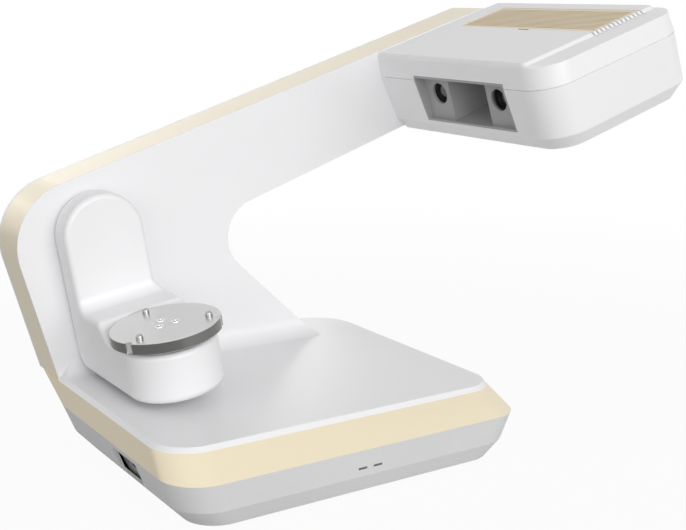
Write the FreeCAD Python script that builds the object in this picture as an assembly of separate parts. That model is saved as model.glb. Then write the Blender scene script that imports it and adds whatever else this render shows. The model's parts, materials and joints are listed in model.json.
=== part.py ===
import FreeCAD, Part
import math
import os
from FreeCAD import Vector

# Desktop scanner for dental models: C-shaped body, swing arm with turntable, tilted scan head
# Working frame: X from the spine toward the head, Y from the wall face to the rear, Z up
# All lengths in millimetres, all angles in degrees

# Shared clearances
seam = 0.2
running = 0.05
loose = 0.6
over = 5.0
blend = 1.5

# Base tray and feet
foot_h = 3.0
foot_r = 8.0
foot_edge = 24.0
pan_h = 31.0
pan_wall = 2.5
pan_bottom_left = 37.0
pan_bottom_right = 262.0
pan_bottom_near = 184.5
pan_bottom_rear = 32.0
pan_bottom_r = 22.0
pan_mid_h = 12.0
pan_mid_share = 0.6
base_left = 19.0
base_right = 276.0
base_near = 195.0
base_near_r = 27.0
base_right_r = 24.0
base_far_r = 37.0
base_heel_r = 60.0

# Gold band round the base, and the deck on top
band_h = 14.0
band_t = 2.0
band_left_draft = 2.2
band_right_draft = 7.0
band_near_draft = 18.0
band_heel_r = 14.0
deck_h = 3.0
deck_draft = 2.5
skirt_t = 2.5

# Upright wall and arm, one C-shaped profile
wall_depth = 40.0
wall_t = 2.5
spine_x = 22.1
spine_lean = 15.3
spine_r = 44.0
arm_tilt = 17.4
arm_top_rise = 24.5
arm_end_u = 121.0
arm_end_r = 14.0
throat_z = 97.5
throat_slope = 18.7
throat_r = 28.0
foot_x = 231.4
foot_slope = 43.8
wall_foot_r = 13.0

# Gold ribbon along spine and arm, and the rear cover
ribbon_t = 2.0
ribbon_front = 1.0
ribbon_rear = 36.0
ribbon_end_w = 0.0
rear_t = 2.5
rear_edge_r = 1.5

# Connector bay in the tray's left side
bay_y = 113.0
bay_w = 36.0
bay_h = 20.0
bay_z = 18.2
bay_sink = 0.6
panel_t = 1.5
panel_lap = 2.0
port_pitch = 12.0
jack_r = 3.15
jack_pin_r = 1.0
jack_body = 10.0
jack_depth = 14.0
port_w = 8.6
port_h = 7.8
port_body = 11.5
port_depth = 16.0
tongue_w = 5.6
tongue_t = 3.0
switch_w = 8.6
switch_h = 13.0
switch_depth = 11.0
switch_rim = 1.1
rocker_tilt = 10.0
rocker_h = 9.6
rocker_w = 5.8
rocker_t = 4.0
rocker_pin_r = 0.8
rocker_sink = 3.2

# Status lights in the tray's near side
light_x = 151.5
light_pitch = 11.3
light_len = 6.5
light_h = 1.6
light_z = 18.0

# Chassis inside the base
chassis_z = 6.0
chassis_t = 2.0
chassis_edge = 14.0
boss_r = 4.0
board_z = 14.0
board_t = 1.6
board_x = 150.0
board_y = 95.0
board_w = 110.0
board_d = 80.0
power_x = 90.0
power_y = 30.0
power_w = 50.0
power_d = 36.0
power_h = 20.0

# Frame inside wall and arm
frame_y = 18.0
frame_t = 2.0
frame_gap = 7.0
frame_end_x = 150.0
frame_foot_x = 78.0
frame_flange = 9.0
spar_start = 200.0
spar_end = 104.0
spar_top = 5.0
spar_h = 30.0
spar_d = 13.0
spar_t = 2.0

# Swing axis, its bearing, gear and motor
swing_x = 52.6
deck_room = 6.7
swing_lean = 9.0
shaft_r = 8.0
shaft_bore_r = 4.0
shaft_flange_r = 14.0
shaft_flange_t = 2.5
shaft_seat = 11.0
sleeve_r = 12.0
sleeve_front = 3.4
flange_r = 18.0
flange_t = 4.0
swing_module = 1.2
swing_teeth = 50
swing_pinion_teeth = 14
swing_gear_y = 22.0
swing_gear_t = 6.0
pinion_angle = 20.0
pressure_angle = 20.0
tip_share = 0.9
root_share = 1.2
backlash_share = 0.12
motor_r = 17.0
motor_front = 4.0
pinion_shaft_r = 2.5

# Swing arm moulding, measured down from the swing axis
lobe_r = 28.5
lobe_t = 18.5
wall_gap = 1.5
arm_wall = 2.5
arm_step = 2.0
ledge_rise = 1.0
ledge_len = 30.0
ledge_fillet = 9.0
ledge_edge_r = 4.0
drop_len = 10.0
body_extra = 6.6
flare_rise = 6.0
flare_drop = 4.0
flare_r = 10.0
flare_edge_r = 6.0
arm_rear_chamfer = 10.0
arm_edge_r = 3.5
arm_foot_r = 5.0
lobe_core_d = 30.0
arm_cover_t = 2.0

# Turntable
table_y = 87.0
disc_r = 36.3
disc_t = 7.4
disc_top_d = 48.0
disc_chamfer = 0.5
disc_room = 1.0
stud_r = 2.3
stud_h = 3.4
stud_pin_r = 1.4
stud_seat_r = 2.9
stud_seat_t = 0.06
crown_share = 0.75
stud_reach = 28.4
stud_angle = 91.0
rim_notch_r = 2.5
rim_notch_turn = 6.0
stud_count = 3
screw_r = 2.6
screw_shank_r = 1.4
screw_bite = 4.0
screw_head_t = 1.6
screw_reach = 6.6
hub_r = 12.0
table_shaft_r = 5.0
arm_chassis_t = 2.0
table_sleeve_r = 8.0
table_flange_r = 13.0
table_flange_t = 3.0
table_gear_t = 3.5
table_module = 0.8
table_teeth = 62
table_pinion_teeth = 14
table_motor_r = 13.5
table_motor_h = 16.0
table_pin_r = 2.0
platform_gap = 3.4
chassis_drop = 10.2
gear_rise = 4.7
sleeve_drop = 8.0
motor_room = 3.0

# Scan head, in its own tilted frame: u along the head, w up, from the parting line's nose
head_x = 291.6
head_rise = 71.0
head_w = 187.8
head_len = 133.0
head_r = 24.0
head_end_r = 20.0
head_wall = 2.5
head_low_len = 136.0
head_low_h = 36.0
head_low_front = 5.0
head_side_draft = 1.5
head_bottom_h = 46.0
head_bottom_front = 12.0
head_bottom_side = 8.0
head_bottom_end = 9.0
cover_side_h = 15.0
cover_front = 1.2
cover_end = 1.5
cover_top_h = 18.6
cover_shoulder = 18.5
cover_end_step = 5.0
cover_bevel = 2.0
cover_corner_r = 4.0
cover_roof = 4.0
groove_h = 0.5
groove_d = 0.7

# Grille on the head's top, and the slots beside it
grille_u = 68.0
grille_len = 46.0
grille_y = 20.0
grille_margin = 4.3
grille_t = 2.4
grille_ledge = 1.5
grille_frame = 2.4
slat_pitch = 2.6
slat_gap = 1.0
notch_y = 95.5
notch_w = 13.0
notch_d = 2.5
slot_w = 1.7
slot_len = 6.0
slot_depth = 2.4
slot_count = 13
slot_pitch = 3.9

# Camera window in the head's front face
window_side = 1.8
window_w = 102.0
window_top = 3.5
window_low = 33.0
bezel_u = 8.0
bezel_t = 2.0
bezel_rim = 1.5
bezel_lap = 3.0
lens_pitch = 67.0
lens_w = 12.0
lens_hole_r = 8.0
toe_in = 7.5
barrel_r = 9.0
barrel_len = 18.0
glass_r = 7.0
glass_t = 2.0
camera_size = 26.0
camera_len = 16.0
funnel_w = 42.0
funnel_len = 30.0
funnel_end_w = 36.0
funnel_low = 32.0
funnel_end_low = 29.5
funnel_end_top = 3.5
funnel_t = 1.5
projector_w = 16.0
projector_lens_r = 8.0
projector_lens_t = 3.0
projector_barrel_r = 9.5
projector_barrel_len = 14.0
projector_size = 34.0
projector_len = 32.0
projector_h = 28.0
sink_len = 14.0
fin_t = 1.2
fin_pitch = 3.4

# Bench, bracket and board inside the head
bench_low = 37.0
bench_t = 3.0
bench_front = 14.0
bench_end = 124.0
bench_edge = 11.8
bench_side = 6.0
bench_flange_top = 8.0
bench_flange_t = 2.5
bracket_u = 62.0
bracket_len = 36.0
bracket_low = 18.0
bracket_h = 20.0
bracket_t = 2.5
head_board_u = 60.0
head_board_len = 50.0
head_board_edge = 11.8
head_board_w = 34.0
head_board_rise = 8.0

# Cooling fan under the grille
fan_size = 45.0
fan_t = 10.0
fan_y = 52.0
fan_bore_r = 21.0
fan_hub_r = 9.0
fan_blade_r = 20.2
fan_blade_t = 1.0
fan_blade_pitch = 38.0
fan_blades = 7
fan_pin_r = 1.5
fan_arm = 3.0
fan_base_t = 2.0

# Levels and centres worked out from the sizes above
z_band = pan_h + band_h
z_deck = z_band + deck_h
ledge_d = disc_top_d - ledge_rise
flare_top_d = ledge_d - flare_rise
flare_low_d = ledge_d + flare_drop
platform_d = disc_top_d + disc_t + platform_gap
arm_chassis_d = platform_d + chassis_drop
table_gear_d = arm_chassis_d - gear_rise
table_sleeve_d = arm_chassis_d + arm_chassis_t + sleeve_drop
arm_bottom_d = arm_chassis_d + arm_chassis_t + table_motor_h + motor_room + arm_cover_t
swing_z = z_deck + deck_room + arm_bottom_d
arm_top_z = swing_z + arm_top_rise
head_z = arm_top_z + head_rise
screw_len = disc_t + screw_bite
stud_turn = 360 / stud_count
grille_w = head_w - cover_shoulder - grille_y - grille_margin
head_board_y = head_w - head_board_edge
bench_near = head_w - bench_edge
window_y = (head_w - window_side) / 2
rear_strip_x = base_right - base_far_r
body_mid = body_extra / 2
body_half = lobe_r + body_mid
tilt = math.radians(arm_tilt)
lean = math.radians(swing_lean)


def at_y(y):
    return lambda a, b: Vector(a, y, b)


def at_z(z):
    return lambda a, b: Vector(a, b, z)


def at_x(x):
    return lambda a, b: Vector(x, a, b)


def rounded(points, radii, put):
    """Closed wire through the points, each corner rounded by its radius."""
    count = len(points)
    ends = []
    for i, (x, y) in enumerate(points):
        ax, ay = points[i - 1]
        bx, by = points[(i + 1) % count]
        la, lb = math.hypot(ax - x, ay - y), math.hypot(bx - x, by - y)
        ax, ay, bx, by = (ax - x) / la, (ay - y) / la, (bx - x) / lb, (by - y) / lb
        half = math.acos(max(-1, min(1, ax * bx + ay * by))) / 2
        reach, deep = radii[i] / math.tan(half), radii[i] / math.sin(half)
        lm = math.hypot(ax + bx, ay + by)
        mid = (deep - radii[i]) / lm
        ends.append(((x + ax * reach, y + ay * reach), (x + (ax + bx) * mid, y + (ay + by) * mid),
                     (x + bx * reach, y + by * reach), radii[i]))
    edges = []
    for i, (start, mid, end, r) in enumerate(ends):
        if r > 0:
            edges.append(Part.Arc(put(*start), put(*mid), put(*end)).toShape())
        p, q = put(*end), put(*ends[(i + 1) % count][0])
        if p.distanceToPoint(q) > seam / 100:
            edges.append(Part.makeLine(p, q))
    return Part.Wire(edges)


def inset(points, gaps):
    """Move each side of a closed outline inward by its own gap."""
    count = len(points)
    area = sum(points[i - 1][0] * points[i][1] - points[i][0] * points[i - 1][1] for i in range(count))
    side = 1 if area > 0 else -1
    lines = []
    for i in range(count):
        (ax, ay), (bx, by) = points[i], points[(i + 1) % count]
        length = math.hypot(bx - ax, by - ay)
        ux, uy = (bx - ax) / length, (by - ay) / length
        lines.append((ax - uy * side * gaps[i], ay + ux * side * gaps[i], ux, uy))
    out = []
    for i in range(count):
        px, py, ux, uy = lines[i - 1]
        qx, qy, vx, vy = lines[i]
        s = ((qx - px) * vy - (qy - py) * vx) / (ux * vy - uy * vx)
        out.append((px + ux * s, py + uy * s))
    return out


def rect(x0, x1, y0, y1):
    return [(x0, y0), (x1, y0), (x1, y1), (x0, y1)]


def box(x0, x1, y0, y1, z0, z1):
    return Part.makeBox(x1 - x0, y1 - y0, z1 - z0, Vector(x0, y0, z0))


def slab(points, radii, z0, z1):
    return Part.Face(rounded(points, radii, at_z(z0))).extrude(Vector(0, 0, z1 - z0))


def plate(points, radii, y0, y1):
    return Part.Face(rounded(points, radii, at_y(y0))).extrude(Vector(0, y1 - y0, 0))


def loft(*rings):
    return Part.makeLoft([rounded(points, radii, at_z(z)) for points, radii, z in rings], True, True)


def rod(r, start, end):
    return Part.makeCylinder(r, start.distanceToPoint(end), start, end - start)


def mapped(shape, origin, a, b, c):
    """Move a shape from its local axes a, b, c into the working frame."""
    return shape.transformed(FreeCAD.Matrix(a.x, b.x, c.x, origin.x, a.y, b.y, c.y, origin.y,
                                            a.z, b.z, c.z, origin.z), copy=True)


def join(*shapes):
    return shapes[0].fuse(list(shapes[1:])).removeSplitter()


def sharp_edges(shape):
    """Edges whose two faces meet at a clear angle."""
    out = []
    for edge in shape.Edges:
        faces = shape.ancestorsOfType(edge, Part.Face)
        if len(faces) != 2:
            continue
        middle = edge.valueAt((edge.FirstParameter + edge.LastParameter) / 2)
        normals = [f.normalAt(*f.Surface.parameter(middle)) for f in faces]
        if normals[0].getAngle(normals[1]) > tilt:
            out.append(edge)
    return out


def in_head(shape):
    return mapped(shape, Vector(head_x, 0, head_z), Vector(math.cos(tilt), 0, math.sin(tilt)),
                  Vector(0, 1, 0), Vector(-math.sin(tilt), 0, math.cos(tilt)))


def in_arm(shape):
    return mapped(shape, Vector(swing_x, 0, swing_z), Vector(math.cos(lean), 0, math.sin(lean)),
                  Vector(0, 1, 0), Vector(-math.sin(lean), 0, math.cos(lean)))


# Base outlines from the tray's bottom up to the deck
pan_low = rect(pan_bottom_left, pan_bottom_right, -pan_bottom_near, pan_bottom_rear)
pan_low_r = [pan_bottom_r, pan_bottom_r, base_far_r, base_heel_r]
pan_top = rect(base_left, base_right, -base_near, wall_depth)
pan_top_r = [base_near_r, base_right_r, base_far_r, base_heel_r]
band_top_r = [base_near_r, base_right_r, base_far_r, band_heel_r]
band_top = rect(base_left + band_left_draft, base_right - band_right_draft,
                band_near_draft - base_near, wall_depth)
deck_top = inset(band_top, [deck_draft, deck_draft, 0, deck_draft])


def between(low, high, share):
    return [(a + (c - a) * share, b + (d - b) * share) for (a, b), (c, d) in zip(low, high)]


def pan_share(z):
    """How far the tray's outline has grown at a height, from its bottom to its rim."""
    if z < pan_mid_h:
        return pan_mid_share * z / pan_mid_h
    return pan_mid_share + (1 - pan_mid_share) * (z - pan_mid_h) / (pan_h - pan_mid_h)


def pan_solid(gap, z0, z1):
    """The tray's outer form, drawn in by a gap, from one height to another."""
    rings = []
    for z in [z0] + [pan_mid_h] * (z0 < pan_mid_h < z1) + [z1]:
        share = pan_share(z)
        radii = [p + (q - p) * share - gap for p, q in zip(pan_low_r, pan_top_r)]
        rings.append((inset(between(pan_low, pan_top, share), [gap] * 4), radii, z))
    return loft(*rings)


def band_solid(gap, extra):
    """The band's outer form, drawn in by a gap, run on past both ends."""
    rings = []
    for share in (-extra / band_h, 1 + extra / band_h):
        radii = [p + (q - p) * share - gap for p, q in zip(pan_top_r, band_top_r)]
        rings.append((inset(between(pan_top, band_top, share), [gap] * 4), radii, pan_h + band_h * share))
    return loft(*rings)


def deck_solid():
    radii = [r - deck_draft for r in band_top_r]
    return loft((band_top, band_top_r, z_band), (deck_top, radii, z_deck))


def rear_zone(grow):
    """Space that the rear cover takes up behind the band and the front moulding."""
    return box(-wall_depth - over, rear_strip_x + grow, ribbon_rear - grow, wall_depth + over,
               pan_h - over, arm_top_z + 2 * base_right)


# The C-shaped wall profile, from the heel round the throat, arm and spine
ts, ta = math.tan(math.radians(spine_lean)), math.tan(tilt)
tu, tf = math.tan(math.radians(throat_slope)), math.tan(math.radians(foot_slope))
corner_x = (spine_x - (arm_top_z - z_band) * ts) / (1 + ta * ts)
throat_x = (z_band + foot_x * tf - throat_z) / (tu + tf)
end_x, end_z = head_x + arm_end_u * math.cos(tilt), head_z + arm_end_u * math.sin(tilt)
top_x = (end_x + (end_z - arm_top_z) * ta) / (1 + ta * ta)
under_x = (end_x + (end_z - throat_z) * ta) / (1 + tu * ta)
wall = [(spine_x, z_band), (foot_x, z_band), (throat_x, throat_z + throat_x * tu),
        (under_x, throat_z + under_x * tu), (top_x, arm_top_z + top_x * ta),
        (corner_x, arm_top_z + corner_x * ta)]


def wall_plate(gaps, y0, y1):
    """A plate of the wall's profile, each side drawn in by its own gap."""
    bottom, slope, under, end, top, spine = gaps
    radii = [0, 0, throat_r + under, arm_end_r - under, arm_end_r - end, spine_r - top]
    return plate(inset(wall, gaps), radii, y0, y1)


def ribbon_ring(t, grow):
    """The strip that runs along the spine, over the arm and round its end."""
    outer = wall_plate([0, 0, 0, -grow, -grow, -grow], ribbon_front, ribbon_rear + grow)
    core = wall_plate([-over, -over, -over, t, t, t], ribbon_front - over, ribbon_rear + over)
    low = in_head(box(-spar_end, arm_end_u + over, -over, wall_depth + over,
                      -head_w, ribbon_end_w))
    return outer.cut([core, low])


def make_feet():
    spots = inset(pan_low, [foot_edge] * 4)
    return Part.makeCompound([rod(foot_r, Vector(x, y, -foot_h), Vector(x, y, 0)) for x, y in spots])


def bay_frame(shape):
    """Local frame of the connector bay: a toward the viewer, b up the side, c outward."""
    low, high = bay_z - bay_h / 2, bay_z + bay_h / 2
    x0, x1 = (pan_bottom_left + (base_left - pan_bottom_left) * pan_share(z) for z in (low, high))
    slope = math.atan2(x0 - x1, high - low)
    up, out = Vector(-math.sin(slope), 0, math.cos(slope)), Vector(-math.cos(slope), 0, -math.sin(slope))
    return mapped(shape, Vector((x0 + x1) / 2, -bay_y, bay_z) - out * bay_sink, Vector(0, -1, 0), up, out)


def light_slots(gap):
    """Two short slots through the tray's near side."""
    y = pan_bottom_near + (base_near - pan_bottom_near) * pan_share(light_z)
    out = []
    for side in (-1, 1):
        x = light_x + side * light_pitch / 2
        out.append(box(x - light_len / 2 + gap, x + light_len / 2 - gap, -y - over, -y + pan_wall + over,
                       light_z - light_h / 2 + gap, light_z + light_h / 2 - gap))
    return out


def make_pan():
    tray = pan_solid(0, 0, pan_h).cut(pan_solid(pan_wall, pan_wall, pan_h + over))
    spots = inset(pan_low, [foot_edge] * 4)
    bosses = [rod(boss_r, Vector(x, y, pan_wall / 2), Vector(x, y, chassis_z)) for x, y in spots]
    opening = bay_frame(box(-bay_w / 2, bay_w / 2, -bay_h / 2, bay_h / 2, -over, over))
    return join(tray, *bosses).cut([opening] + light_slots(0))


def make_lights():
    skin = pan_solid(0, 0, pan_h).cut(pan_solid(2 * pan_wall, 0, pan_h))
    return Part.makeCompound([slot.common(skin) for slot in light_slots(running)])


def make_band():
    return band_solid(0, 0).cut([band_solid(band_t, blend), rear_zone(0)])


def make_front_shell():
    tongue = band_t + seam
    skirt = band_solid(tongue, 0).cut(band_solid(tongue + skirt_t, blend))
    skin = join(wall_plate([0] * len(wall), 0, ribbon_rear), deck_solid())
    foot = [e for e in skin.Edges if on_wall_foot(e)]
    skin = skin.makeFillet(wall_foot_r, foot)
    t = ribbon_t + seam + wall_t
    hollow = wall_plate([-2 * deck_h, wall_t, wall_t, t, t, t], wall_t, ribbon_rear + over)
    axle = rod(shaft_r + loose, Vector(swing_x, -over, swing_z), Vector(swing_x, wall_t + over, swing_z))
    gate = in_head(box(bracket_u - loose, bracket_u + bracket_len + loose, -over, wall_t + over,
                       -bracket_low - loose, bracket_h - bracket_low + loose))
    body = join(skin, skirt)
    return body.cut([ribbon_ring(ribbon_t + seam, over), rear_zone(0), hollow, axle, gate])


def on_wall_foot(edge):
    """The inner corner where the wall's front face meets the deck."""
    b = edge.BoundBox
    flat = abs(b.ZMin - z_deck) < seam and abs(b.ZMax - z_deck) < seam
    return flat and abs(b.YMin) < seam and abs(b.YMax) < seam and b.XLength > wall_depth


def make_ribbon():
    return ribbon_ring(ribbon_t, 0)


def rear_outline():
    """The wall's profile run on down over the rear of the base."""
    step_x = foot_x - deck_h / tf
    return [(base_left + band_left_draft, pan_h), (rear_strip_x - seam, pan_h),
            (rear_strip_x - seam, z_deck), (step_x, z_deck)] + wall[2:] + [wall[0]]


def make_back_shell():
    outline = rear_outline()
    lap = wall_t + ribbon_t

    def sheet(gap, y0, y1):
        radii = [0, 0, 0, 0, throat_r + gap, arm_end_r - gap, arm_end_r - gap, spine_r - gap, 0]
        return plate(inset(outline, [gap] * len(outline)), radii, y0, y1)
    cover = sheet(0, ribbon_rear + seam / 2, wall_depth)
    rim = [e for e in cover.Edges if e.BoundBox.YMin > wall_depth - seam]
    cover = cover.makeFillet(rear_edge_r, rim)
    heel = box(base_left - over, base_left + base_heel_r + over, 0, wall_depth + over, pan_h - over, z_band)
    return cover.cut([sheet(lap, ribbon_rear - over, wall_depth - rear_t), heel.cut(band_solid(0, blend))])


def make_bay_panel():
    back = -pan_wall
    panel = box(-bay_w / 2 - panel_lap, bay_w / 2 + panel_lap, -bay_h / 2 - panel_lap,
                bay_h / 2 + panel_lap, back - panel_t, back)
    holes = [box(-port_pitch - jack_body / 2, -port_pitch + jack_body / 2,
                 -jack_body / 2, jack_body / 2, -over * 2, over),
             box(-port_body / 2, port_body / 2, -port_body / 2, port_body / 2, -over * 2, over),
             box(port_pitch - switch_w / 2, port_pitch + switch_w / 2,
                 -switch_h / 2, switch_h / 2, -over * 2, over)]
    return bay_frame(panel.cut(holes))


def make_jack():
    face = -pan_wall + seam
    body = box(-port_pitch - jack_body / 2 + seam, -port_pitch + jack_body / 2 - seam,
               -jack_body / 2 + seam, jack_body / 2 - seam, face - jack_depth, face)
    bore = rod(jack_r, Vector(-port_pitch, 0, face - jack_depth + panel_t), Vector(-port_pitch, 0, face + over))
    pin = rod(jack_pin_r, Vector(-port_pitch, 0, face - jack_depth + panel_t / 2),
              Vector(-port_pitch, 0, face - panel_t))
    return bay_frame(join(body.cut(bore), pin))


def make_port():
    face = -pan_wall + seam
    body = box(-port_body / 2 + seam, port_body / 2 - seam, -port_body / 2 + seam, port_body / 2 - seam,
               face - port_depth, face)
    hole = box(-port_w / 2, port_w / 2, -port_h / 2, port_h / 2, face - port_depth + panel_t, face + over)
    tongue = box(-tongue_w / 2, tongue_w / 2, -tongue_t / 2, tongue_t / 2,
                 face - port_depth + panel_t / 2, face - panel_t)
    return bay_frame(join(body.cut(hole), tongue))


def make_switch():
    face = -pan_wall + seam
    body = box(port_pitch - switch_w / 2 + seam, port_pitch + switch_w / 2 - seam,
               -switch_h / 2 + seam, switch_h / 2 - seam, face - switch_depth, face)
    hole = box(port_pitch - switch_w / 2 + switch_rim, port_pitch + switch_w / 2 - switch_rim,
               -switch_h / 2 + switch_rim, switch_h / 2 - switch_rim,
               face - switch_depth + panel_t, face + over)
    pins = rod(rocker_pin_r + running, Vector(port_pitch - switch_w / 2 + seam * 2, 0, face - rocker_sink),
               Vector(port_pitch + switch_w / 2 - seam * 2, 0, face - rocker_sink))
    return bay_frame(body.cut([hole, pins]))


def make_rocker():
    face = -pan_wall + seam
    crown = rocker_sink + rocker_t / 4
    arch = [(-rocker_h / 2, -rocker_t / 2), (rocker_h / 2, -rocker_t / 2), (rocker_h / 2, crown),
            (0, crown - rocker_t / 4), (-rocker_h / 2, crown)]
    wire = rounded(arch, [blend / 2, blend / 2, blend / 3, rocker_h, blend / 3], at_x(-rocker_w / 2))
    key = Part.Face(wire).extrude(Vector(rocker_w, 0, 0))
    reach = switch_w / 2 - seam * 3
    key = join(key, rod(rocker_pin_r, Vector(-reach, 0, 0), Vector(reach, 0, 0)))
    key.rotate(Vector(0, 0, 0), Vector(1, 0, 0), -rocker_tilt)
    key.translate(Vector(port_pitch, 0, face - rocker_sink))
    return bay_frame(key)


def make_chassis():
    outline = inset(pan_low, [chassis_edge, chassis_edge, pan_bottom_rear - frame_y - frame_t - frame_flange,
                              chassis_edge])
    corners = [pan_bottom_r, pan_bottom_r, base_far_r - chassis_edge, base_heel_r - chassis_edge]
    sheet = slab(outline, corners, chassis_z, chassis_z + chassis_t)
    top = chassis_z + chassis_t
    posts = []
    for sx in (-1, 1):
        for sy in (-1, 1):
            x, y = board_x + sx * (board_w / 2 - boss_r), -board_y + sy * (board_d / 2 - boss_r)
            posts.append(rod(boss_r / 2, Vector(x, y, top - chassis_t / 2), Vector(x, y, board_z)))
    return join(sheet, *posts)


def make_board():
    x0, y0 = board_x - board_w / 2, -board_y - board_d / 2
    board = box(x0, x0 + board_w, y0, y0 + board_d, board_z, board_z + board_t)
    top = board_z + board_t
    chip, cap = board_d / 5, board_d / 12
    parts = [box(x0 + chip, x0 + 2 * chip, y0 + chip, y0 + 2 * chip, top - board_t / 2, top + board_t),
             box(x0 + 3 * chip, x0 + 4 * chip, y0 + 2 * chip, y0 + 3 * chip, top - board_t / 2, top + board_t)]
    for i in range(3):
        x = x0 + board_w - cap * (2 + 3 * i)
        parts.append(rod(cap / 2, Vector(x, y0 + cap * 2, top - board_t / 2), Vector(x, y0 + cap * 2, top + cap)))
    return join(board, *parts)


def make_power():
    top = chassis_z + chassis_t
    return box(power_x - power_w / 2, power_x + power_w / 2, -power_y - power_d / 2, -power_y + power_d / 2,
               top, top + power_h)


def make_frame():
    g = frame_gap + ribbon_t + wall_t
    sheet = wall_plate([-over, g, g, g, g, g], frame_y, frame_y + frame_t)
    sheet = sheet.common(box(-wall_depth, frame_end_x, 0, wall_depth, z_band - over, arm_top_z + frame_end_x))
    low = chassis_z + chassis_t
    leg = box(frame_foot_x, frame_end_x, frame_y, frame_y + frame_t, low, z_band + wall_foot_r)
    toe = box(frame_foot_x, frame_end_x, frame_y, frame_y + frame_flange, low, low + frame_t)
    px, pz = swing_pinion_at()
    holes = [rod(sleeve_r + running, Vector(swing_x, 0, swing_z), Vector(swing_x, wall_depth, swing_z)),
             rod(pinion_shaft_r + loose, Vector(px, 0, pz), Vector(px, wall_depth, pz))]
    return join(sheet, leg, toe).cut(holes)


def swing_pinion_at():
    """Centre of the swing pinion, one centre distance from the swing axis."""
    reach = swing_module * (swing_teeth + swing_pinion_teeth) / 2
    turn = math.radians(pinion_angle)
    return swing_x + reach * math.cos(turn), swing_z + reach * math.sin(turn)


def make_spar():
    y0 = frame_y + frame_t
    bar = box(-spar_start, spar_end, y0, y0 + spar_d, spar_top - spar_h, spar_top)
    bay = box(-spar_start - over, spar_end + over, y0 + spar_t, y0 + spar_d + over,
              spar_top - spar_h + spar_t, spar_top - spar_t)
    return in_head(bar.cut(bay))


def make_swing_bearing():
    def ring(r, y0, y1):
        return rod(r, Vector(swing_x, y0, swing_z), Vector(swing_x, y1, swing_z))
    body = join(ring(sleeve_r, sleeve_front, frame_y + frame_t + loose), ring(flange_r, frame_y - flange_t, frame_y))
    return body.cut(ring(shaft_r + running, 0, wall_depth))


def make_swing_motor():
    px, pz = swing_pinion_at()
    can = rod(motor_r, Vector(px, motor_front, pz), Vector(px, frame_y, pz))
    return can.cut(rod(pinion_shaft_r + running, Vector(px, (motor_front + frame_y) / 2, pz),
                       Vector(px, wall_depth, pz)))


def involute(angle):
    return math.tan(angle) - angle


def gear(module, teeth, thick, bore, turn):
    """Spur gear about local Z with involute flanks and a little backlash."""
    pressure = math.radians(pressure_angle)
    pitch_r = module * teeth / 2
    base_r = pitch_r * math.cos(pressure)
    tip_r, root_r = pitch_r + module * tip_share, pitch_r - module * root_share
    low_r = max(base_r, root_r)
    slack = module * backlash_share / pitch_r
    points = []
    for i in range(teeth):
        centre = math.radians(turn) + 2 * math.pi * i / teeth
        flank = []
        for share in (0, 0.5, 1):
            r = low_r + (tip_r - low_r) * share
            half = math.pi / (2 * teeth) - slack + involute(pressure) - involute(math.acos(min(1, base_r / r)))
            flank.append((r, half))
        flank.insert(0, (root_r, flank[0][1] + slack))
        for r, half in flank:
            points.append((r, centre - half))
        for r, half in reversed(flank):
            points.append((r, centre + half))
    ring = [Vector(r * math.cos(a), r * math.sin(a), 0) for r, a in points]
    wheel = Part.Face(Part.makePolygon(ring + ring[:1])).extrude(Vector(0, 0, thick))
    return wheel.cut(rod(bore, Vector(0, 0, -over), Vector(0, 0, thick + over))) if bore else wheel


def on_swing_axis(shape, x, z, y1):
    """Lay a shape built about local Z onto the wall's Y direction, its base at y1."""
    return mapped(shape, Vector(x, y1, z), Vector(1, 0, 0), Vector(0, 0, 1), Vector(0, -1, 0))


def make_swing_gear():
    wheel = gear(swing_module, swing_teeth, swing_gear_t, shaft_r + seam / 10, pinion_angle)
    return on_swing_axis(wheel, swing_x, swing_z, swing_gear_y + swing_gear_t)


def make_swing_pinion():
    px, pz = swing_pinion_at()
    wheel = gear(swing_module, swing_pinion_teeth, swing_gear_t, 0,
                 pinion_angle + 180 + 180 / swing_pinion_teeth)
    wheel = on_swing_axis(wheel, px, pz, swing_gear_y + swing_gear_t)
    return join(wheel, rod(pinion_shaft_r, Vector(px, (motor_front + frame_y) / 2 + seam, pz),
                           Vector(px, swing_gear_y + seam, pz)))


def make_swing_shaft():
    def ring(r, y0, y1):
        return rod(r, Vector(0, y0, 0), Vector(0, y1, 0))
    back = -wall_gap - shaft_flange_t
    body = join(ring(shaft_r, back - shaft_seat, swing_gear_y + swing_gear_t + seam),
                ring(shaft_flange_r, back, -wall_gap - seam))
    return in_arm(body.cut(ring(shaft_bore_r, back - shaft_seat - over, wall_depth)))


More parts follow.
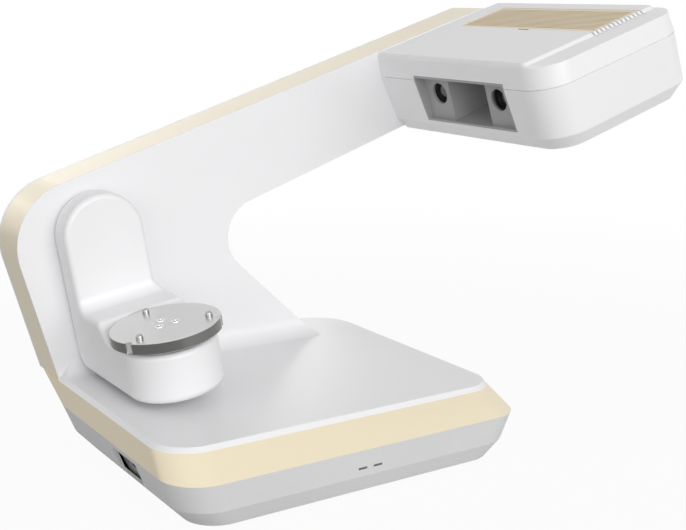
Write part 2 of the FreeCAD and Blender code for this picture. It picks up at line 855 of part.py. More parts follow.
def arm_body(side, roof, floor):
    """The swing arm's form: front, side and plan outlines met, drawn in by gaps."""
    right = lobe_r + body_extra
    front = [(-lobe_r, -arm_bottom_d), (right, -arm_bottom_d), (right, -flare_low_d),
             (lobe_r, -flare_top_d), (lobe_r, lobe_r), (-lobe_r, lobe_r)]
    face = inset(front, [floor, side, side, side, side, side])
    outline = plate(face, [0, 0, flare_edge_r, flare_r, lobe_r - side, lobe_r - side],
                    -2 * table_y, 0)
    y0, y1 = -wall_gap, -wall_gap - lobe_t
    y2, y3, y4 = y1 - ledge_len, y1 - ledge_len - drop_len, -table_y - body_half - over
    profile = [(y4, -arm_bottom_d), (y0 - arm_rear_chamfer, -arm_bottom_d),
               (y0, -arm_bottom_d + arm_rear_chamfer), (y0, lobe_r + over), (y1, lobe_r + over),
               (y1, -ledge_d), (y2, -ledge_d), (y3, -platform_d), (y4, -platform_d)]
    profile = inset(profile, [floor, side, side, 0, side, roof, roof, roof, 0])
    wire = rounded(profile, [0, 0, 0, 0, 0, ledge_fillet + side, ledge_edge_r, ledge_edge_r, 0], at_x(-table_y))
    section = Part.Face(wire).extrude(Vector(2 * table_y, 0, 0))
    plan = inset(rect(-lobe_r, right, -table_y - body_half, over), [side] * 4)
    r = body_half - side - seam / 100
    footprint = slab(plan, [r, r, 0, 0], -arm_bottom_d - over, lobe_r + over)
    return outline.common(section).common(footprint)


def arm_form():
    """The swing arm's outer form with its outer edges rounded."""
    form = arm_body(0, 0, 0)
    rear, floor = -wall_gap - arm_rear_chamfer, -arm_bottom_d + seam
    low = [e for e in sharp_edges(form) if e.BoundBox.ZMax < floor and e.BoundBox.YMin < rear - seam]
    form = form.makeFillet(arm_foot_r, low)
    top = [e for e in sharp_edges(form) if e.BoundBox.ZMin > -arm_bottom_d + arm_foot_r + seam
           and e.BoundBox.YMax < -wall_gap - seam]
    return form.makeFillet(arm_edge_r, top)


def table_rod(r, d0, d1):
    return rod(r, Vector(body_mid, -table_y, -d0), Vector(body_mid, -table_y, -d1))


def make_arm_shell():
    low = box(-table_y, table_y, -2 * table_y, over, -arm_bottom_d - over, -arm_chassis_d)
    upper = arm_body(arm_wall + arm_step, arm_wall, 0)
    upper = upper.cut(box(-table_y, table_y, -2 * table_y, over, -lobe_core_d, lobe_r + over))
    lower = arm_body(arm_wall, arm_wall, arm_cover_t).common(low)
    mouth = arm_body(arm_foot_r, arm_wall, -over).common(cover_zone(seam))
    well = table_rod(disc_r + disc_room, disc_top_d - over, platform_d)
    seat = Vector(0, -wall_gap - shaft_flange_t - seam, 0)
    pocket = [rod(shaft_flange_r + seam, seat, Vector(0, over, 0)),
              rod(shaft_r + seam, seat - Vector(0, shaft_seat + seam, 0), Vector(0, over, 0))]
    eye = table_rod(hub_r + loose, platform_d - over, arm_chassis_d)
    return in_arm(arm_form().cut([upper, lower, mouth, well, eye] + pocket))


def cover_zone(grow):
    """Flat zone at the arm's bottom that its cover lies in."""
    return box(-table_y, table_y, -2 * table_y, over, -arm_bottom_d - grow,
               -arm_bottom_d + arm_cover_t + grow)


def make_arm_cover():
    gap = arm_foot_r + seam
    return in_arm(arm_body(gap, gap, 0).common(cover_zone(0)))


def table_pinion_at():
    return -table_y + table_module * (table_teeth + table_pinion_teeth) / 2


def make_arm_chassis():
    gap = arm_wall + seam
    low = arm_chassis_d + arm_chassis_t
    keep = box(-table_y, table_y, -2 * table_y, over, -low, -arm_chassis_d)
    y = table_pinion_at()
    holes = [table_rod(table_sleeve_r + running, arm_chassis_d - over, low + over),
             rod(table_pin_r + loose, Vector(body_mid, y, -low - over), Vector(body_mid, y, -arm_chassis_d + over))]
    return in_arm(arm_body(gap, gap, 0).common(keep).cut(holes))


def make_table_bearing():
    low = arm_chassis_d + arm_chassis_t
    top = table_gear_d + table_gear_t + seam
    body = join(table_rod(table_sleeve_r, top, table_sleeve_d), table_rod(table_flange_r, low, low + table_flange_t))
    return in_arm(body.cut(table_rod(table_shaft_r + running, 0, arm_bottom_d)))


def make_table_motor():
    low, y = arm_chassis_d + arm_chassis_t, table_pinion_at()
    can = rod(table_motor_r, Vector(body_mid, y, -low - table_motor_h), Vector(body_mid, y, -low))
    bore = rod(table_pin_r + running, Vector(body_mid, y, -low - table_motor_h / 2), Vector(body_mid, y, 0))
    return in_arm(can.cut(bore))


def make_table_gear():
    wheel = gear(table_module, table_teeth, table_gear_t, table_shaft_r + seam / 10, 90)
    wheel.translate(Vector(body_mid, -table_y, -table_gear_d - table_gear_t))
    return in_arm(wheel)


def make_table_pinion():
    y = table_pinion_at()
    wheel = gear(table_module, table_pinion_teeth, table_gear_t, 0, 270 + 180 / table_pinion_teeth)
    wheel.translate(Vector(body_mid, y, -table_gear_d - table_gear_t))
    low = arm_chassis_d + arm_chassis_t + table_motor_h / 2 - seam
    pin = rod(table_pin_r, Vector(body_mid, y, -low), Vector(body_mid, y, -table_gear_d - table_gear_t / 2))
    return in_arm(join(wheel, pin))


def make_table_hub():
    flange = table_rod(hub_r, disc_top_d + disc_t, table_gear_d - seam)
    shaft = table_rod(table_shaft_r, table_gear_d - over / 5, table_sleeve_d + seam)
    return in_arm(join(flange, shaft).cut(screw_holes(screw_shank_r, screw_len + seam)))


def polar(r, angle):
    turn = math.radians(angle)
    return body_mid + r * math.cos(turn), -table_y + r * math.sin(turn)


def screw_holes(r, length):
    out = []
    for i in range(stud_count):
        x, y = polar(screw_reach, stud_angle + stud_turn * i)
        out.append(rod(r, Vector(x, y, -disc_top_d - length), Vector(x, y, -disc_top_d)))
    return out


def screw_heads(grow):
    out = []
    for i in range(stud_count):
        x, y = polar(screw_reach, stud_angle + stud_turn * i)
        out.append(Part.makeCone(screw_shank_r + grow, screw_r + grow, screw_head_t,
                                 Vector(x, y, -disc_top_d - screw_head_t + (over / 1000 if grow else 0))))
    return out


def make_disc():
    top, low = -disc_top_d, -disc_top_d - disc_t
    rim = [(0, low), (disc_r - disc_chamfer, low), (disc_r, low + disc_chamfer), (disc_r, top - disc_chamfer),
           (disc_r - disc_chamfer, top), (0, top)]
    face = Part.Face(rounded(rim, [0] * len(rim), at_y(0)))
    disc = face.revolve(Vector(0, 0, 0), Vector(0, 0, 1), 360)
    disc.translate(Vector(body_mid, -table_y, 0))
    cuts = screw_holes(screw_shank_r + running, disc_t + over) + screw_heads(running)
    for i in range(stud_count):
        x, y = polar(stud_reach, stud_angle + stud_turn * i)
        cuts.append(rod(stud_pin_r + running, Vector(x, y, low + disc_t / 2), Vector(x, y, top + over)))
        cuts.append(rod(stud_seat_r, Vector(x, y, top - stud_seat_t), Vector(x, y, top + over)))
        x, y = polar(disc_r, stud_angle - rim_notch_turn + stud_turn * i)
        cuts.append(rod(rim_notch_r, Vector(x, y, low - over), Vector(x, y, top + over)))
    return in_arm(disc.cut(cuts))


def make_studs():
    out = []
    for i in range(stud_count):
        x, y = polar(stud_reach, stud_angle + stud_turn * i)
        low = -disc_top_d - disc_t / 2
        pin = rod(stud_pin_r, Vector(x, y, low), Vector(x, y, -disc_top_d + stud_h / 2))
        stem = rod(stud_r, Vector(x, y, -disc_top_d - stud_seat_t), Vector(x, y, -disc_top_d + stud_h))
        crown = [e for e in stem.Edges if e.BoundBox.ZMin > -disc_top_d + seam and e.BoundBox.ZLength < seam]
        out.append(join(stem.makeFillet(stud_r * crown_share, crown), pin))
    return in_arm(Part.makeCompound(out))


def make_screws():
    pairs = zip(screw_holes(screw_shank_r, screw_len), screw_heads(0))
    return in_arm(Part.makeCompound([join(shank, head) for shank, head in pairs]))


# Head outlines from the bottom plate up to the raised panel
head_mid = rect(0, head_len, -head_w, -seam)
head_low = rect(head_low_front, head_low_len, head_side_draft - head_w, -seam)
head_floor = rect(head_bottom_front, head_low_len - head_bottom_end, head_bottom_side - head_w, -seam)
cover_rim = rect(cover_front, head_len - cover_end, head_side_draft - head_w, -seam)
cover_step = rect(cover_front + cover_bevel / 4, head_len - cover_end - cover_end_step,
                  cover_shoulder - head_w, -seam)
cover_panel = inset(cover_step, [cover_bevel, cover_bevel / 2, 0, cover_bevel / 2])
head_corner_r = [head_r, head_end_r, 0, 0]
floor_corner_r = [head_r - head_bottom_side / 2, head_end_r - head_bottom_side / 2, 0, 0]
panel_corner_r = [cover_corner_r, cover_corner_r, 0, 0]


def head_low_solid(gap):
    radii = [r - gap if r else 0 for r in head_corner_r]
    small = [r - gap if r else 0 for r in floor_corner_r]
    sides = [gap] * 4
    lift = gap and over
    return loft((inset(head_floor, sides), small, -head_bottom_h + gap),
                (inset(head_low, sides), radii, -head_low_h + gap / 2),
                (inset(head_mid, sides), radii, 0), *([(inset(head_mid, sides), radii, lift)] if gap else []))


def head_cover_solid():
    lower = loft((head_mid, head_corner_r, 0), (cover_rim, head_corner_r, cover_side_h))
    shoulder = loft((cover_rim, head_corner_r, cover_side_h),
                    (cover_step, panel_corner_r, cover_top_h - cover_bevel))
    panel = loft((cover_step, panel_corner_r, cover_top_h - cover_bevel),
                 (cover_panel, panel_corner_r, cover_top_h))
    return join(lower, shoulder, panel)


def parting_groove():
    """The fine groove between the head's cover and its lower shell."""
    wide = [-over, -over, over, -over]
    ring = slab(inset(head_mid, wide), [0] * len(wide), -over / 5, groove_h)
    core = [groove_d, groove_d, -over, groove_d]
    return ring.cut(slab(inset(head_mid, core), head_corner_r, -over, over))


def window_box(gap, u0, u1):
    return box(u0, u1, -window_y - window_w / 2 + gap, -window_y + window_w / 2 - gap,
               -window_low + gap, window_top - gap)


def make_head_lower():
    shell = head_low_solid(0).cut(head_low_solid(head_wall))
    gate = box(bracket_u - loose, bracket_u + bracket_len + loose, -head_wall - over, over,
               -bracket_low - loose, bracket_h - bracket_low + loose)
    posts = []
    for u in (bench_front + boss_r, bench_end - boss_r):
        for y in (-bench_near + head_r, -bench_side - 2 * boss_r):
            posts.append(rod(boss_r, Vector(u, y, -head_bottom_h + head_wall / 2), Vector(u, y, -bench_low)))
    return in_head(join(shell, *posts).cut([gate, window_box(0, -over, bezel_u)]))


def make_head_cover():
    gap, floor = head_wall, cover_top_h - cover_roof
    sides = [gap] * 4
    radii = [r - gap if r else 0 for r in head_corner_r]
    hollow = loft((inset(head_mid, sides), radii, -over / 5), (inset(cover_rim, sides), radii, cover_side_h - gap))
    attic = slab(inset(cover_panel, sides), [cover_corner_r] * 2 + [0, 0], cover_side_h - 2 * gap, floor)
    u1, y0, y1 = grille_u + grille_len, -grille_y - grille_w, -grille_y
    seat = box(grille_u, u1, y0, y1, cover_top_h - grille_t - seam, cover_top_h + over)
    vent = box(grille_u + grille_ledge, u1 - grille_ledge, y0 + grille_ledge, y1 - grille_ledge, 0, cover_top_h)
    notch = box(grille_u - notch_d, grille_u + seam, -notch_y - notch_w / 2, -notch_y + notch_w / 2,
                cover_top_h - grille_t - seam, cover_top_h + over)
    edge = cover_shoulder - head_w
    slots = []
    for i in range(slot_count):
        u = grille_u + slot_pitch * (i - 0.5)
        slots.append(box(u - slot_w / 2, u + slot_w / 2, edge - over, edge + slot_len,
                         cover_top_h - slot_depth, cover_top_h + over))
    shell = head_cover_solid().cut([hollow, attic, parting_groove()])
    gate = box(bracket_u - loose, bracket_u + bracket_len + loose, -head_wall - over, over,
               -bracket_low - loose, bracket_h - bracket_low + loose)
    return in_head(shell.cut([seat, vent, notch, gate, window_box(0, -over, bezel_u)] + slots))


def make_grille():
    u0, u1 = grille_u + seam, grille_u + grille_len - seam
    y0, y1 = -grille_y - grille_w + seam, -grille_y - seam
    top = cover_top_h - seam
    sheet = box(u0, u1, y0, y1, top - grille_t + seam, top)
    gaps = []
    room = u1 - u0 - 2 * grille_frame
    count = int(room / slat_pitch)
    first = (u0 + u1) / 2 - slat_pitch * (count - 1) / 2
    for i in range(count):
        u = first + i * slat_pitch
        gaps.append(box(u - slat_gap / 2, u + slat_gap / 2, y0 + grille_frame, y1 - grille_frame,
                        top - grille_t - over, top + over))
    return in_head(sheet.cut(gaps))


def make_bezel():
    skin = join(head_low_solid(0), head_cover_solid())
    rim = window_box(seam, 0, bezel_u).cut(window_box(seam + bezel_rim, -over, bezel_u + over)).common(skin)
    back = box(bezel_u, bezel_u + bezel_t, -window_y - window_w / 2 - bezel_lap,
               -window_y + window_w / 2 + bezel_lap, -window_low - bezel_lap / 2, window_top + bezel_lap)
    u2 = bezel_u + bezel_t / 2 + funnel_len

    def tunnel(grow, u0, u1):
        rings = []
        for u in (u0, u1):
            s = (u - bezel_u) / funnel_len
            half = funnel_w / 2 + (funnel_end_w - funnel_w) / 2 * s + grow
            top = -funnel_end_top * s + grow
            low = -funnel_low + (funnel_low - funnel_end_low) * s - grow
            rings.append(rounded(rect(-window_y - half, -window_y + half, low, top), [0] * 4, at_x(u)))
        return Part.makeLoft(rings, True, True)
    holes = []
    for side in (-1, 1):
        y = -window_y + side * lens_pitch / 2
        holes.append(rod(lens_hole_r, Vector(bezel_u - over, y, -lens_w), Vector(bezel_u + over, y, -lens_w)))
    inner = tunnel(0, bezel_u - over / 5, u2)
    lamp = rod(projector_lens_r, Vector(u2 - over, -window_y, -projector_w), Vector(u2 + over, -window_y, -projector_w))
    return in_head(join(rim, back, tunnel(funnel_t, bezel_u, u2 + funnel_t)).cut(holes + [inner, lamp]))


def camera_frame(shape, side):
    """Turn a barrel built along +u to look toward the middle, then set it behind its hole."""
    part = shape.copy()
    part.rotate(Vector(0, 0, 0), Vector(0, 0, 1), side * toe_in)
    clear = barrel_r * math.sin(math.radians(toe_in)) + seam
    part.translate(Vector(bezel_u + bezel_t + clear, -window_y + side * lens_pitch / 2, -lens_w))
    return in_head(part)


def make_camera(side):
    back = barrel_len + camera_len
    barrel = rod(barrel_r, Vector(0, 0, 0), Vector(barrel_len + seam, 0, 0))
    low = bench_low - bench_t - lens_w
    body = box(barrel_len, back, -camera_size / 2, camera_size / 2, -low, camera_size - low)
    sight = rod(glass_r + running, Vector(-over, 0, 0), Vector(glass_t * 2, 0, 0))
    return camera_frame(join(barrel, body).cut(sight), side)


def make_lens(side):
    return camera_frame(rod(glass_r, Vector(glass_t - seam, 0, 0), Vector(glass_t * 2 - seam / 4, 0, 0)), side)


def make_projector():
    u0 = bezel_u + bezel_t / 2 + funnel_len + funnel_t + seam
    u1 = u0 + projector_barrel_len
    y, w = -window_y, -projector_w
    floor = -bench_low + bench_t
    barrel = rod(projector_barrel_r, Vector(u0, y, w), Vector(u1 + seam, y, w))
    body = box(u1, u1 + projector_len, y - projector_size / 2, y + projector_size / 2, floor, floor + projector_h)
    sight = rod(projector_lens_r - funnel_t + running, Vector(u0 - over, y, w), Vector(u0 + projector_lens_t * 2, y, w))
    return in_head(join(barrel, body).cut(sight))


def make_projector_lens():
    u0 = bezel_u + bezel_t / 2 + funnel_len + funnel_t + seam + projector_lens_t
    r = projector_lens_r - funnel_t
    return in_head(rod(r, Vector(u0, -window_y, -projector_w),
                       Vector(u0 + projector_lens_t - seam / 4, -window_y, -projector_w)))


def make_heat_sink():
    u0 = bezel_u + bezel_t / 2 + funnel_len + funnel_t + seam + projector_barrel_len + projector_len
    floor = -bench_low + bench_t
    y0 = -window_y - projector_size / 2
    body = box(u0, u0 + sink_len, y0, y0 + projector_size, floor, floor + projector_h)
    cuts = []
    count = int((projector_size - fin_t) / fin_pitch)
    for i in range(count):
        y = y0 + fin_t + i * fin_pitch
        cuts.append(box(u0 + fin_t * 2, u0 + sink_len + over, y, y + fin_pitch - fin_t, floor - over, floor + projector_h + over))
    return in_head(body.cut(cuts))


def make_bench():
    floor = box(bench_front, bench_end, -bench_near, -bench_side, -bench_low, -bench_low + bench_t)
    side = box(bracket_u - bracket_t * 2, bracket_u + bracket_len + bracket_t * 2,
               -bench_side - bench_flange_t, -bench_side, -bench_low, bench_flange_top)
    corner = box(bench_front - over, bench_front + head_r / 2, -bench_near - over, -bench_near + head_r / 2,
                 -head_bottom_h, 0)
    far = box(bench_end - head_r / 2, bench_end + over, -bench_near - over, -bench_near + head_r / 2,
              -head_bottom_h, 0)
    return in_head(join(floor, side).cut([corner, far]))


def make_bracket():
    u0, w0 = bracket_u, -bracket_low
    tube = box(u0, u0 + bracket_len, -bench_side, frame_y + frame_t, w0, w0 + bracket_h)
    core = box(u0 + bracket_t, u0 + bracket_len - bracket_t, -bench_side - over, wall_depth,
               w0 + bracket_t, w0 + bracket_h - bracket_t)
    return in_head(tube.cut(core))


def make_head_board():
    u0, y0 = head_board_u, -head_board_y
    low = -bench_low + bench_t
    board = box(u0, u0 + head_board_len, y0 + head_r / 2, y0 + head_board_w, low + head_board_rise,
                low + head_board_rise + board_t)
    posts = []
    for u in (u0 + boss_r, u0 + head_board_len - boss_r):
        for y in (y0 + head_r / 2 + boss_r, y0 + head_board_w - boss_r):
            posts.append(rod(boss_r / 2, Vector(u, y, low), Vector(u, y, low + head_board_rise + board_t / 2)))
    return in_head(join(board, *posts))


def fan_rod(r, w0, w1):
    u = grille_u + grille_len / 2
    return rod(r, Vector(u, -fan_y, w0), Vector(u, -fan_y, w1))


def make_fan_frame():
    u, top = grille_u + grille_len / 2, cover_top_h - cover_roof
    body = box(u - fan_size / 2, u + fan_size / 2, -fan_y - fan_size / 2, -fan_y + fan_size / 2, top - fan_t, top)
    body = body.cut(fan_rod(fan_bore_r, top - fan_t - over, top + over))
    low = top - fan_t
    arms = [box(u - fan_bore_r - fan_arm / 2, u + fan_bore_r + fan_arm / 2, -fan_y - fan_arm / 2, -fan_y + fan_arm / 2,
                low, low + fan_base_t),
            box(u - fan_arm / 2, u + fan_arm / 2, -fan_y - fan_bore_r - fan_arm / 2, -fan_y + fan_bore_r + fan_arm / 2,
                low, low + fan_base_t)]
    seat = fan_rod(fan_hub_r, low, low + fan_base_t)
    pin = fan_rod(fan_pin_r, low + fan_base_t / 2, low + fan_t - fan_base_t)
    return in_head(join(body, *arms, seat, pin))


def make_fan_rotor():
    low = cover_top_h - cover_roof - fan_t + fan_base_t + seam
    high = cover_top_h - cover_roof - fan_base_t / 2
    u = grille_u + grille_len / 2
    hub = fan_rod(fan_hub_r, low, high)
    blades = []
    for i in range(fan_blades):
        blade = box(fan_hub_r - blend, fan_blade_r + over, -fan_t, fan_t, -fan_blade_t / 2, fan_blade_t / 2)
        blade.rotate(Vector(0, 0, 0), Vector(1, 0, 0), fan_blade_pitch)
        blade.rotate(Vector(0, 0, 0), Vector(0, 0, 1), 360 * i / fan_blades)
        blade.translate(Vector(u, -fan_y, (low + high) / 2))
        blades.append(blade.common(fan_rod(fan_blade_r, low, high)))
    rotor = join(hub, *blades)
    return in_head(rotor.cut(fan_rod(fan_pin_r + running, low - over, low + fan_t - 2 * fan_base_t)))


nodes = {
    "rubber_feet": make_feet, "base_pan": make_pan, "base_band": make_band,
    "front_shell": make_front_shell, "arm_ribbon": make_ribbon, "back_shell": make_back_shell,
    "status_lights": make_lights, "connector_panel": make_bay_panel, "power_jack": make_jack,
    "data_port": make_port, "switch_housing": make_switch, "power_rocker": make_rocker,
    "chassis_plate": make_chassis, "main_board": make_board, "power_module": make_power,
    "spine_frame": make_frame, "arm_spar": make_spar, "swing_bearing": make_swing_bearing,
    "swing_motor": make_swing_motor, "swing_pinion": make_swing_pinion, "swing_gear": make_swing_gear,
    "swing_shaft": make_swing_shaft, "arm_shell": make_arm_shell, "arm_cover": make_arm_cover,
    "arm_chassis": make_arm_chassis, "table_bearing": make_table_bearing, "table_motor": make_table_motor,
    "table_pinion": make_table_pinion, "table_gear": make_table_gear, "table_hub": make_table_hub,
    "turntable_disc": make_disc, "locating_studs": make_studs, "disc_screws": make_screws,
    "head_bracket": make_bracket, "optical_bench": make_bench, "head_lower": make_head_lower,
    "head_cover": make_head_cover, "head_grille": make_grille, "sensor_bezel": make_bezel,
    "camera_left": lambda: make_camera(1), "camera_right": lambda: make_camera(-1),
    "lens_left": lambda: make_lens(1), "lens_right": lambda: make_lens(-1),
    "projector_body": make_projector, "projector_lens": make_projector_lens,
    "heat_sink": make_heat_sink, "head_board": make_head_board,
    "fan_frame": make_fan_frame, "fan_rotor": make_fan_rotor,
}

shapes = {name: make() for name, make in nodes.items()}
outside = Part.makeCompound([shapes[n] for n in ("rubber_feet", "front_shell", "back_shell", "base_pan",
                                                 "base_band", "arm_ribbon", "head_lower", "head_cover")])
bounds = outside.optimalBoundingBox(False)
shift = Vector(-(bounds.XMin + bounds.XMax) / 2, -(bounds.YMin + bounds.YMax) / 2, -bounds.ZMin)
os.makedirs("parts", exist_ok=True)
for name, shape in shapes.items():
    shape.translate(shift)
    shape.exportStep("parts/" + name + ".step")
print("shift", shift, "size", bounds.XLength, bounds.YLength, bounds.ZLength)
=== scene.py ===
import json
import math

import bmesh
import bpy
from mathutils import Matrix, Vector


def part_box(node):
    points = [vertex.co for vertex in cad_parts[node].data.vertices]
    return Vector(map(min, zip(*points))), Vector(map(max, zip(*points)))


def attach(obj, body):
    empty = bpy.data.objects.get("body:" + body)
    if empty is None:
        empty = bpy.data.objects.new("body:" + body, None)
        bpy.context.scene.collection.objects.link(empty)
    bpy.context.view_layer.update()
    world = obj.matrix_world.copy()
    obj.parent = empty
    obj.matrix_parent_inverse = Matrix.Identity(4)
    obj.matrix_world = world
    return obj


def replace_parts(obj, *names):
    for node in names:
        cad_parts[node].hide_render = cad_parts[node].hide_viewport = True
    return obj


bl_info = {
    "name": "Desktop scanner finish",
    "version": (1, 0, 0),
    "blender": (4, 5, 0),
    "location": "3D View > Sidebar > Scanner",
    "description": "Finishes, small fasteners and studio for a desktop dental-model scanner",
    "category": "Object",
}

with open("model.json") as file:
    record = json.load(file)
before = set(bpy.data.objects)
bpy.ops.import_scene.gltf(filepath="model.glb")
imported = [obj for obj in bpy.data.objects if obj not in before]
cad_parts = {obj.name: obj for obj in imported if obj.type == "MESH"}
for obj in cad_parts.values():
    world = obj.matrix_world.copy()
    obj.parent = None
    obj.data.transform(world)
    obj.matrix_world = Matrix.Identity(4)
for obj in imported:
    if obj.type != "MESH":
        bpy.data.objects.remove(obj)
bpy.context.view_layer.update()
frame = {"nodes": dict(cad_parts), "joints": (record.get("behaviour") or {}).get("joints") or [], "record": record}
NODES = frame["nodes"]
RECORD = frame["record"]
JOINTS = {joint["name"]: joint for joint in frame["joints"]}
MOUNTS = {mount["name"]: mount for mount in RECORD["mounts"]}

# The photograph's frame and the camera that took it
IMAGE_WIDTH = 686
SENSOR_WIDTH = 36.0
FOCAL_PIXELS = 1222.3

# Gloss of the clear coats over plastic and lacquer
COAT_ROUGHNESS = 0.22

# Darker and lighter share of the lacquer's colour, scale of the slow patches in moulded plastic,
# how far brushing is drawn out, and the tracks of a circuit board to the metre
FLAKE_BASE = 0.93
FLAKE_LIFT = 1.25
PATCH_SCALE = 14.0
BRUSH_STRETCH = 0.02
TRACK_SCALE = 220.0

# Reflectance of the floor, the share of it that shows as plain backdrop under the object, and
# where it starts to fade as a share of its full fade
FLOOR_PALE = 0.45
FLOOR_GLOW = 0.95
FADE_START_SHARE = 0.3

# Painted dark reflection: where the floor is painted darker for mirrors only, along X, and how bright it is there
PAINTED_REFLECTION_EDGE = (-0.150, -0.060)
PAINTED_REFLECTION_LEVEL = 0.6

# Sides of a turned piece, and the turn from which an edge stays sharp
TURN_STEPS = 32
SHARP_TURN = math.radians(32)

# Radius from which the turntable's rim is painted darker, a painted dark reflection
DISC_PAINTED_DARK_RIM = 0.0361

# The three screws of the turntable stand in a ring, turned as its studs are
TABLE_SCREW_REACH = 0.0066
TABLE_SCREW_TURN = math.radians(91)
TABLE_SCREW_SINK = 0.0016

# Loops of a screw head: shares of its radius and rise, and the flats of its socket
HEAD_RISE_SHARE = 0.42
SOCKET_FLATS = 6
HEAD_LOOPS = ((1.0, -0.4), (1.0, 0.3), (0.93, 0.72), (0.80, 0.94), (0.68, 1.0), (0.5152, 1.0),
              (0.46, 0.88, SOCKET_FLATS), (0.46, -0.2, SOCKET_FLATS))

# Loops of a turntable screw above the disc's face, as shares of its radius, and the depth of its
# socket as a share of how far it is sunk
TABLE_SCREW_LOOPS = ((0.96, 0.0), (0.93, 0.10), (0.84, 0.14), (0.6, 0.10), (0.5, 0.0, SOCKET_FLATS))
SOCKET_DEPTH_SHARE = 0.7

# Screws in the head and in the arm's floor, as shares of those in the other covers
HEAD_SCREW_SHARE = 0.85
ARM_SCREW_SHARE = 0.75

# Radius of a camera's front glass, how far it stands out, and the loops of dome and ring as
# shares of the two
GLASS_RADIUS = 0.0070
GLASS_RISE = 0.0011
DOME_LOOPS = ((0.86, -0.2), (0.86, 0.0), (0.774, 0.42), (0.6192, 0.72), (0.4128, 0.90),
              (0.172, 1.0))
RING_LOOPS = ((0.98, 0.0), (0.98, 1.1), (0.94, 1.3), (0.91, 1.3), (0.86, 0.7), (0.86, 0.0))

# Contacts of the data socket, each half its length behind the mouth, beside the tongue
CONTACT_THICK = 0.00016
CONTACT_WIDE = 0.0011
CONTACT_LONG = 0.0060
CONTACT_PITCH = 0.0025
TONGUE_HALF = 0.00135

# Marks on the two ends of the power rocker: distance from its middle, half their thickness, width
# of a stroke as a share of their height, and how far out the line to the rocker starts
MARK_REACH = 0.0025
MARK_RISE = 0.00012
MARK_WALL_SHARE = 0.2
MARK_START = 0.05

# Screws of each cover, as shares of the cover's own box along X, Y and Z
REAR_SPOTS = ((0.10, 1.0, 0.10), (0.44, 1.0, 0.10), (0.07, 1.0, 0.50), (0.30, 1.0, 0.62),
              (0.62, 1.0, 0.78), (0.93, 1.0, 0.93))
TRAY_SPOTS = ((0.30, 0.12, 0.0), (0.70, 0.12, 0.0), (0.30, 0.80, 0.0), (0.70, 0.80, 0.0))
HEAD_SPOTS = ((0.22, 0.14, 0.0), (0.80, 0.14, 0.0), (0.22, 0.84, 0.0), (0.80, 0.84, 0.0))
ARM_SPOTS = ((0.22, 0.82, 0.0), (0.80, 0.82, 0.0), (0.50, 0.14, 0.0))

# Lamps: name, setting of the power, place, target, and width and height
LAMPS = (
    ("front soft box", "key_power", (-0.10, -2.0, 0.80), (0.0, 0.0, 0.12), (2.2, 1.4)),
    ("strip light", "strip_power", (-0.30, -1.5, 0.40), (-0.10, 0.0, 0.05), (0.22, 0.8)),
    ("side soft box", "side_power", (-1.7, -1.1, 0.50), (0.0, 0.0, 0.12), (1.4, 0.9)),
    ("overhead soft box", "top_power", (-0.3, -0.3, 1.8), (0.0, 0.0, 0.1), (1.6, 1.6)),
    ("rear soft box", "rear_power", (0.3, 2.2, 0.45), (0.0, 0.0, 0.15), (2.0, 0.7)),
)


def node_middle(node):
    """The middle of a node's box."""
    low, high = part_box(node)
    return (Vector(low) + Vector(high)) / 2


# ---------------------------------------------------------------- settings

class ScannerFinish(bpy.types.PropertyGroup):
    """Colours and finishes of the housing and the metal parts"""
    white: bpy.props.FloatVectorProperty(
        name="Housing white", description="Colour of the moulded shells", subtype="COLOR",
        default=(0.84, 0.84, 0.85), min=0.0, max=1.0)
    tray: bpy.props.FloatVectorProperty(
        name="Tray grey", description="Colour of the lower tray", subtype="COLOR",
        default=(0.70, 0.70, 0.705), min=0.0, max=1.0)
    champagne: bpy.props.FloatVectorProperty(
        name="Champagne lacquer", description="Colour of the trim band and ribbon", subtype="COLOR",
        default=(0.86, 0.75, 0.55), min=0.0, max=1.0)
    grille: bpy.props.FloatVectorProperty(
        name="Grille lacquer", description="Colour of the vent grille", subtype="COLOR",
        default=(0.76, 0.63, 0.42), min=0.0, max=1.0)
    bezel: bpy.props.FloatVectorProperty(
        name="Bezel grey", description="Colour of the sensor window", subtype="COLOR",
        default=(0.37, 0.37, 0.37), min=0.0, max=1.0)
    steel: bpy.props.FloatVectorProperty(
        name="Turned steel", description="Colour of the turntable", subtype="COLOR",
        default=(0.62, 0.62, 0.61), min=0.0, max=1.0)
    # The rim's darker colour is a painted dark reflection on the turned steel
    painted_dark_rim: bpy.props.FloatVectorProperty(
        name="Rim with painted dark reflection", description="Colour of the turntable's rim", subtype="COLOR",
        default=(0.19, 0.19, 0.185), min=0.0, max=1.0)
    shell_roughness: bpy.props.FloatProperty(
        name="Housing roughness", description="Gloss of the moulded shells", subtype="FACTOR",
        default=0.38, min=0.0, max=1.0)
    grain_size: bpy.props.FloatProperty(
        name="Mould grain", description="Size of the moulded surface grain", unit="LENGTH",
        default=0.0006, min=0.0001, max=0.01)


class ScannerFasteners(bpy.types.PropertyGroup):
    """Sizes of the screws and of the small marks"""
    cover_screw: bpy.props.FloatProperty(
        name="Cover screw", description="Head radius of the screws in the covers", unit="LENGTH",
        default=0.0029, min=0.001, max=0.01)
    table_screw: bpy.props.FloatProperty(
        name="Turntable screw", description="Head radius of the screws in the turntable",
        unit="LENGTH", default=0.0033, min=0.001, max=0.01)
    mark_height: bpy.props.FloatProperty(
        name="Rocker mark", description="Height of the on and off marks", unit="LENGTH",
        default=0.0020, min=0.0005, max=0.004)


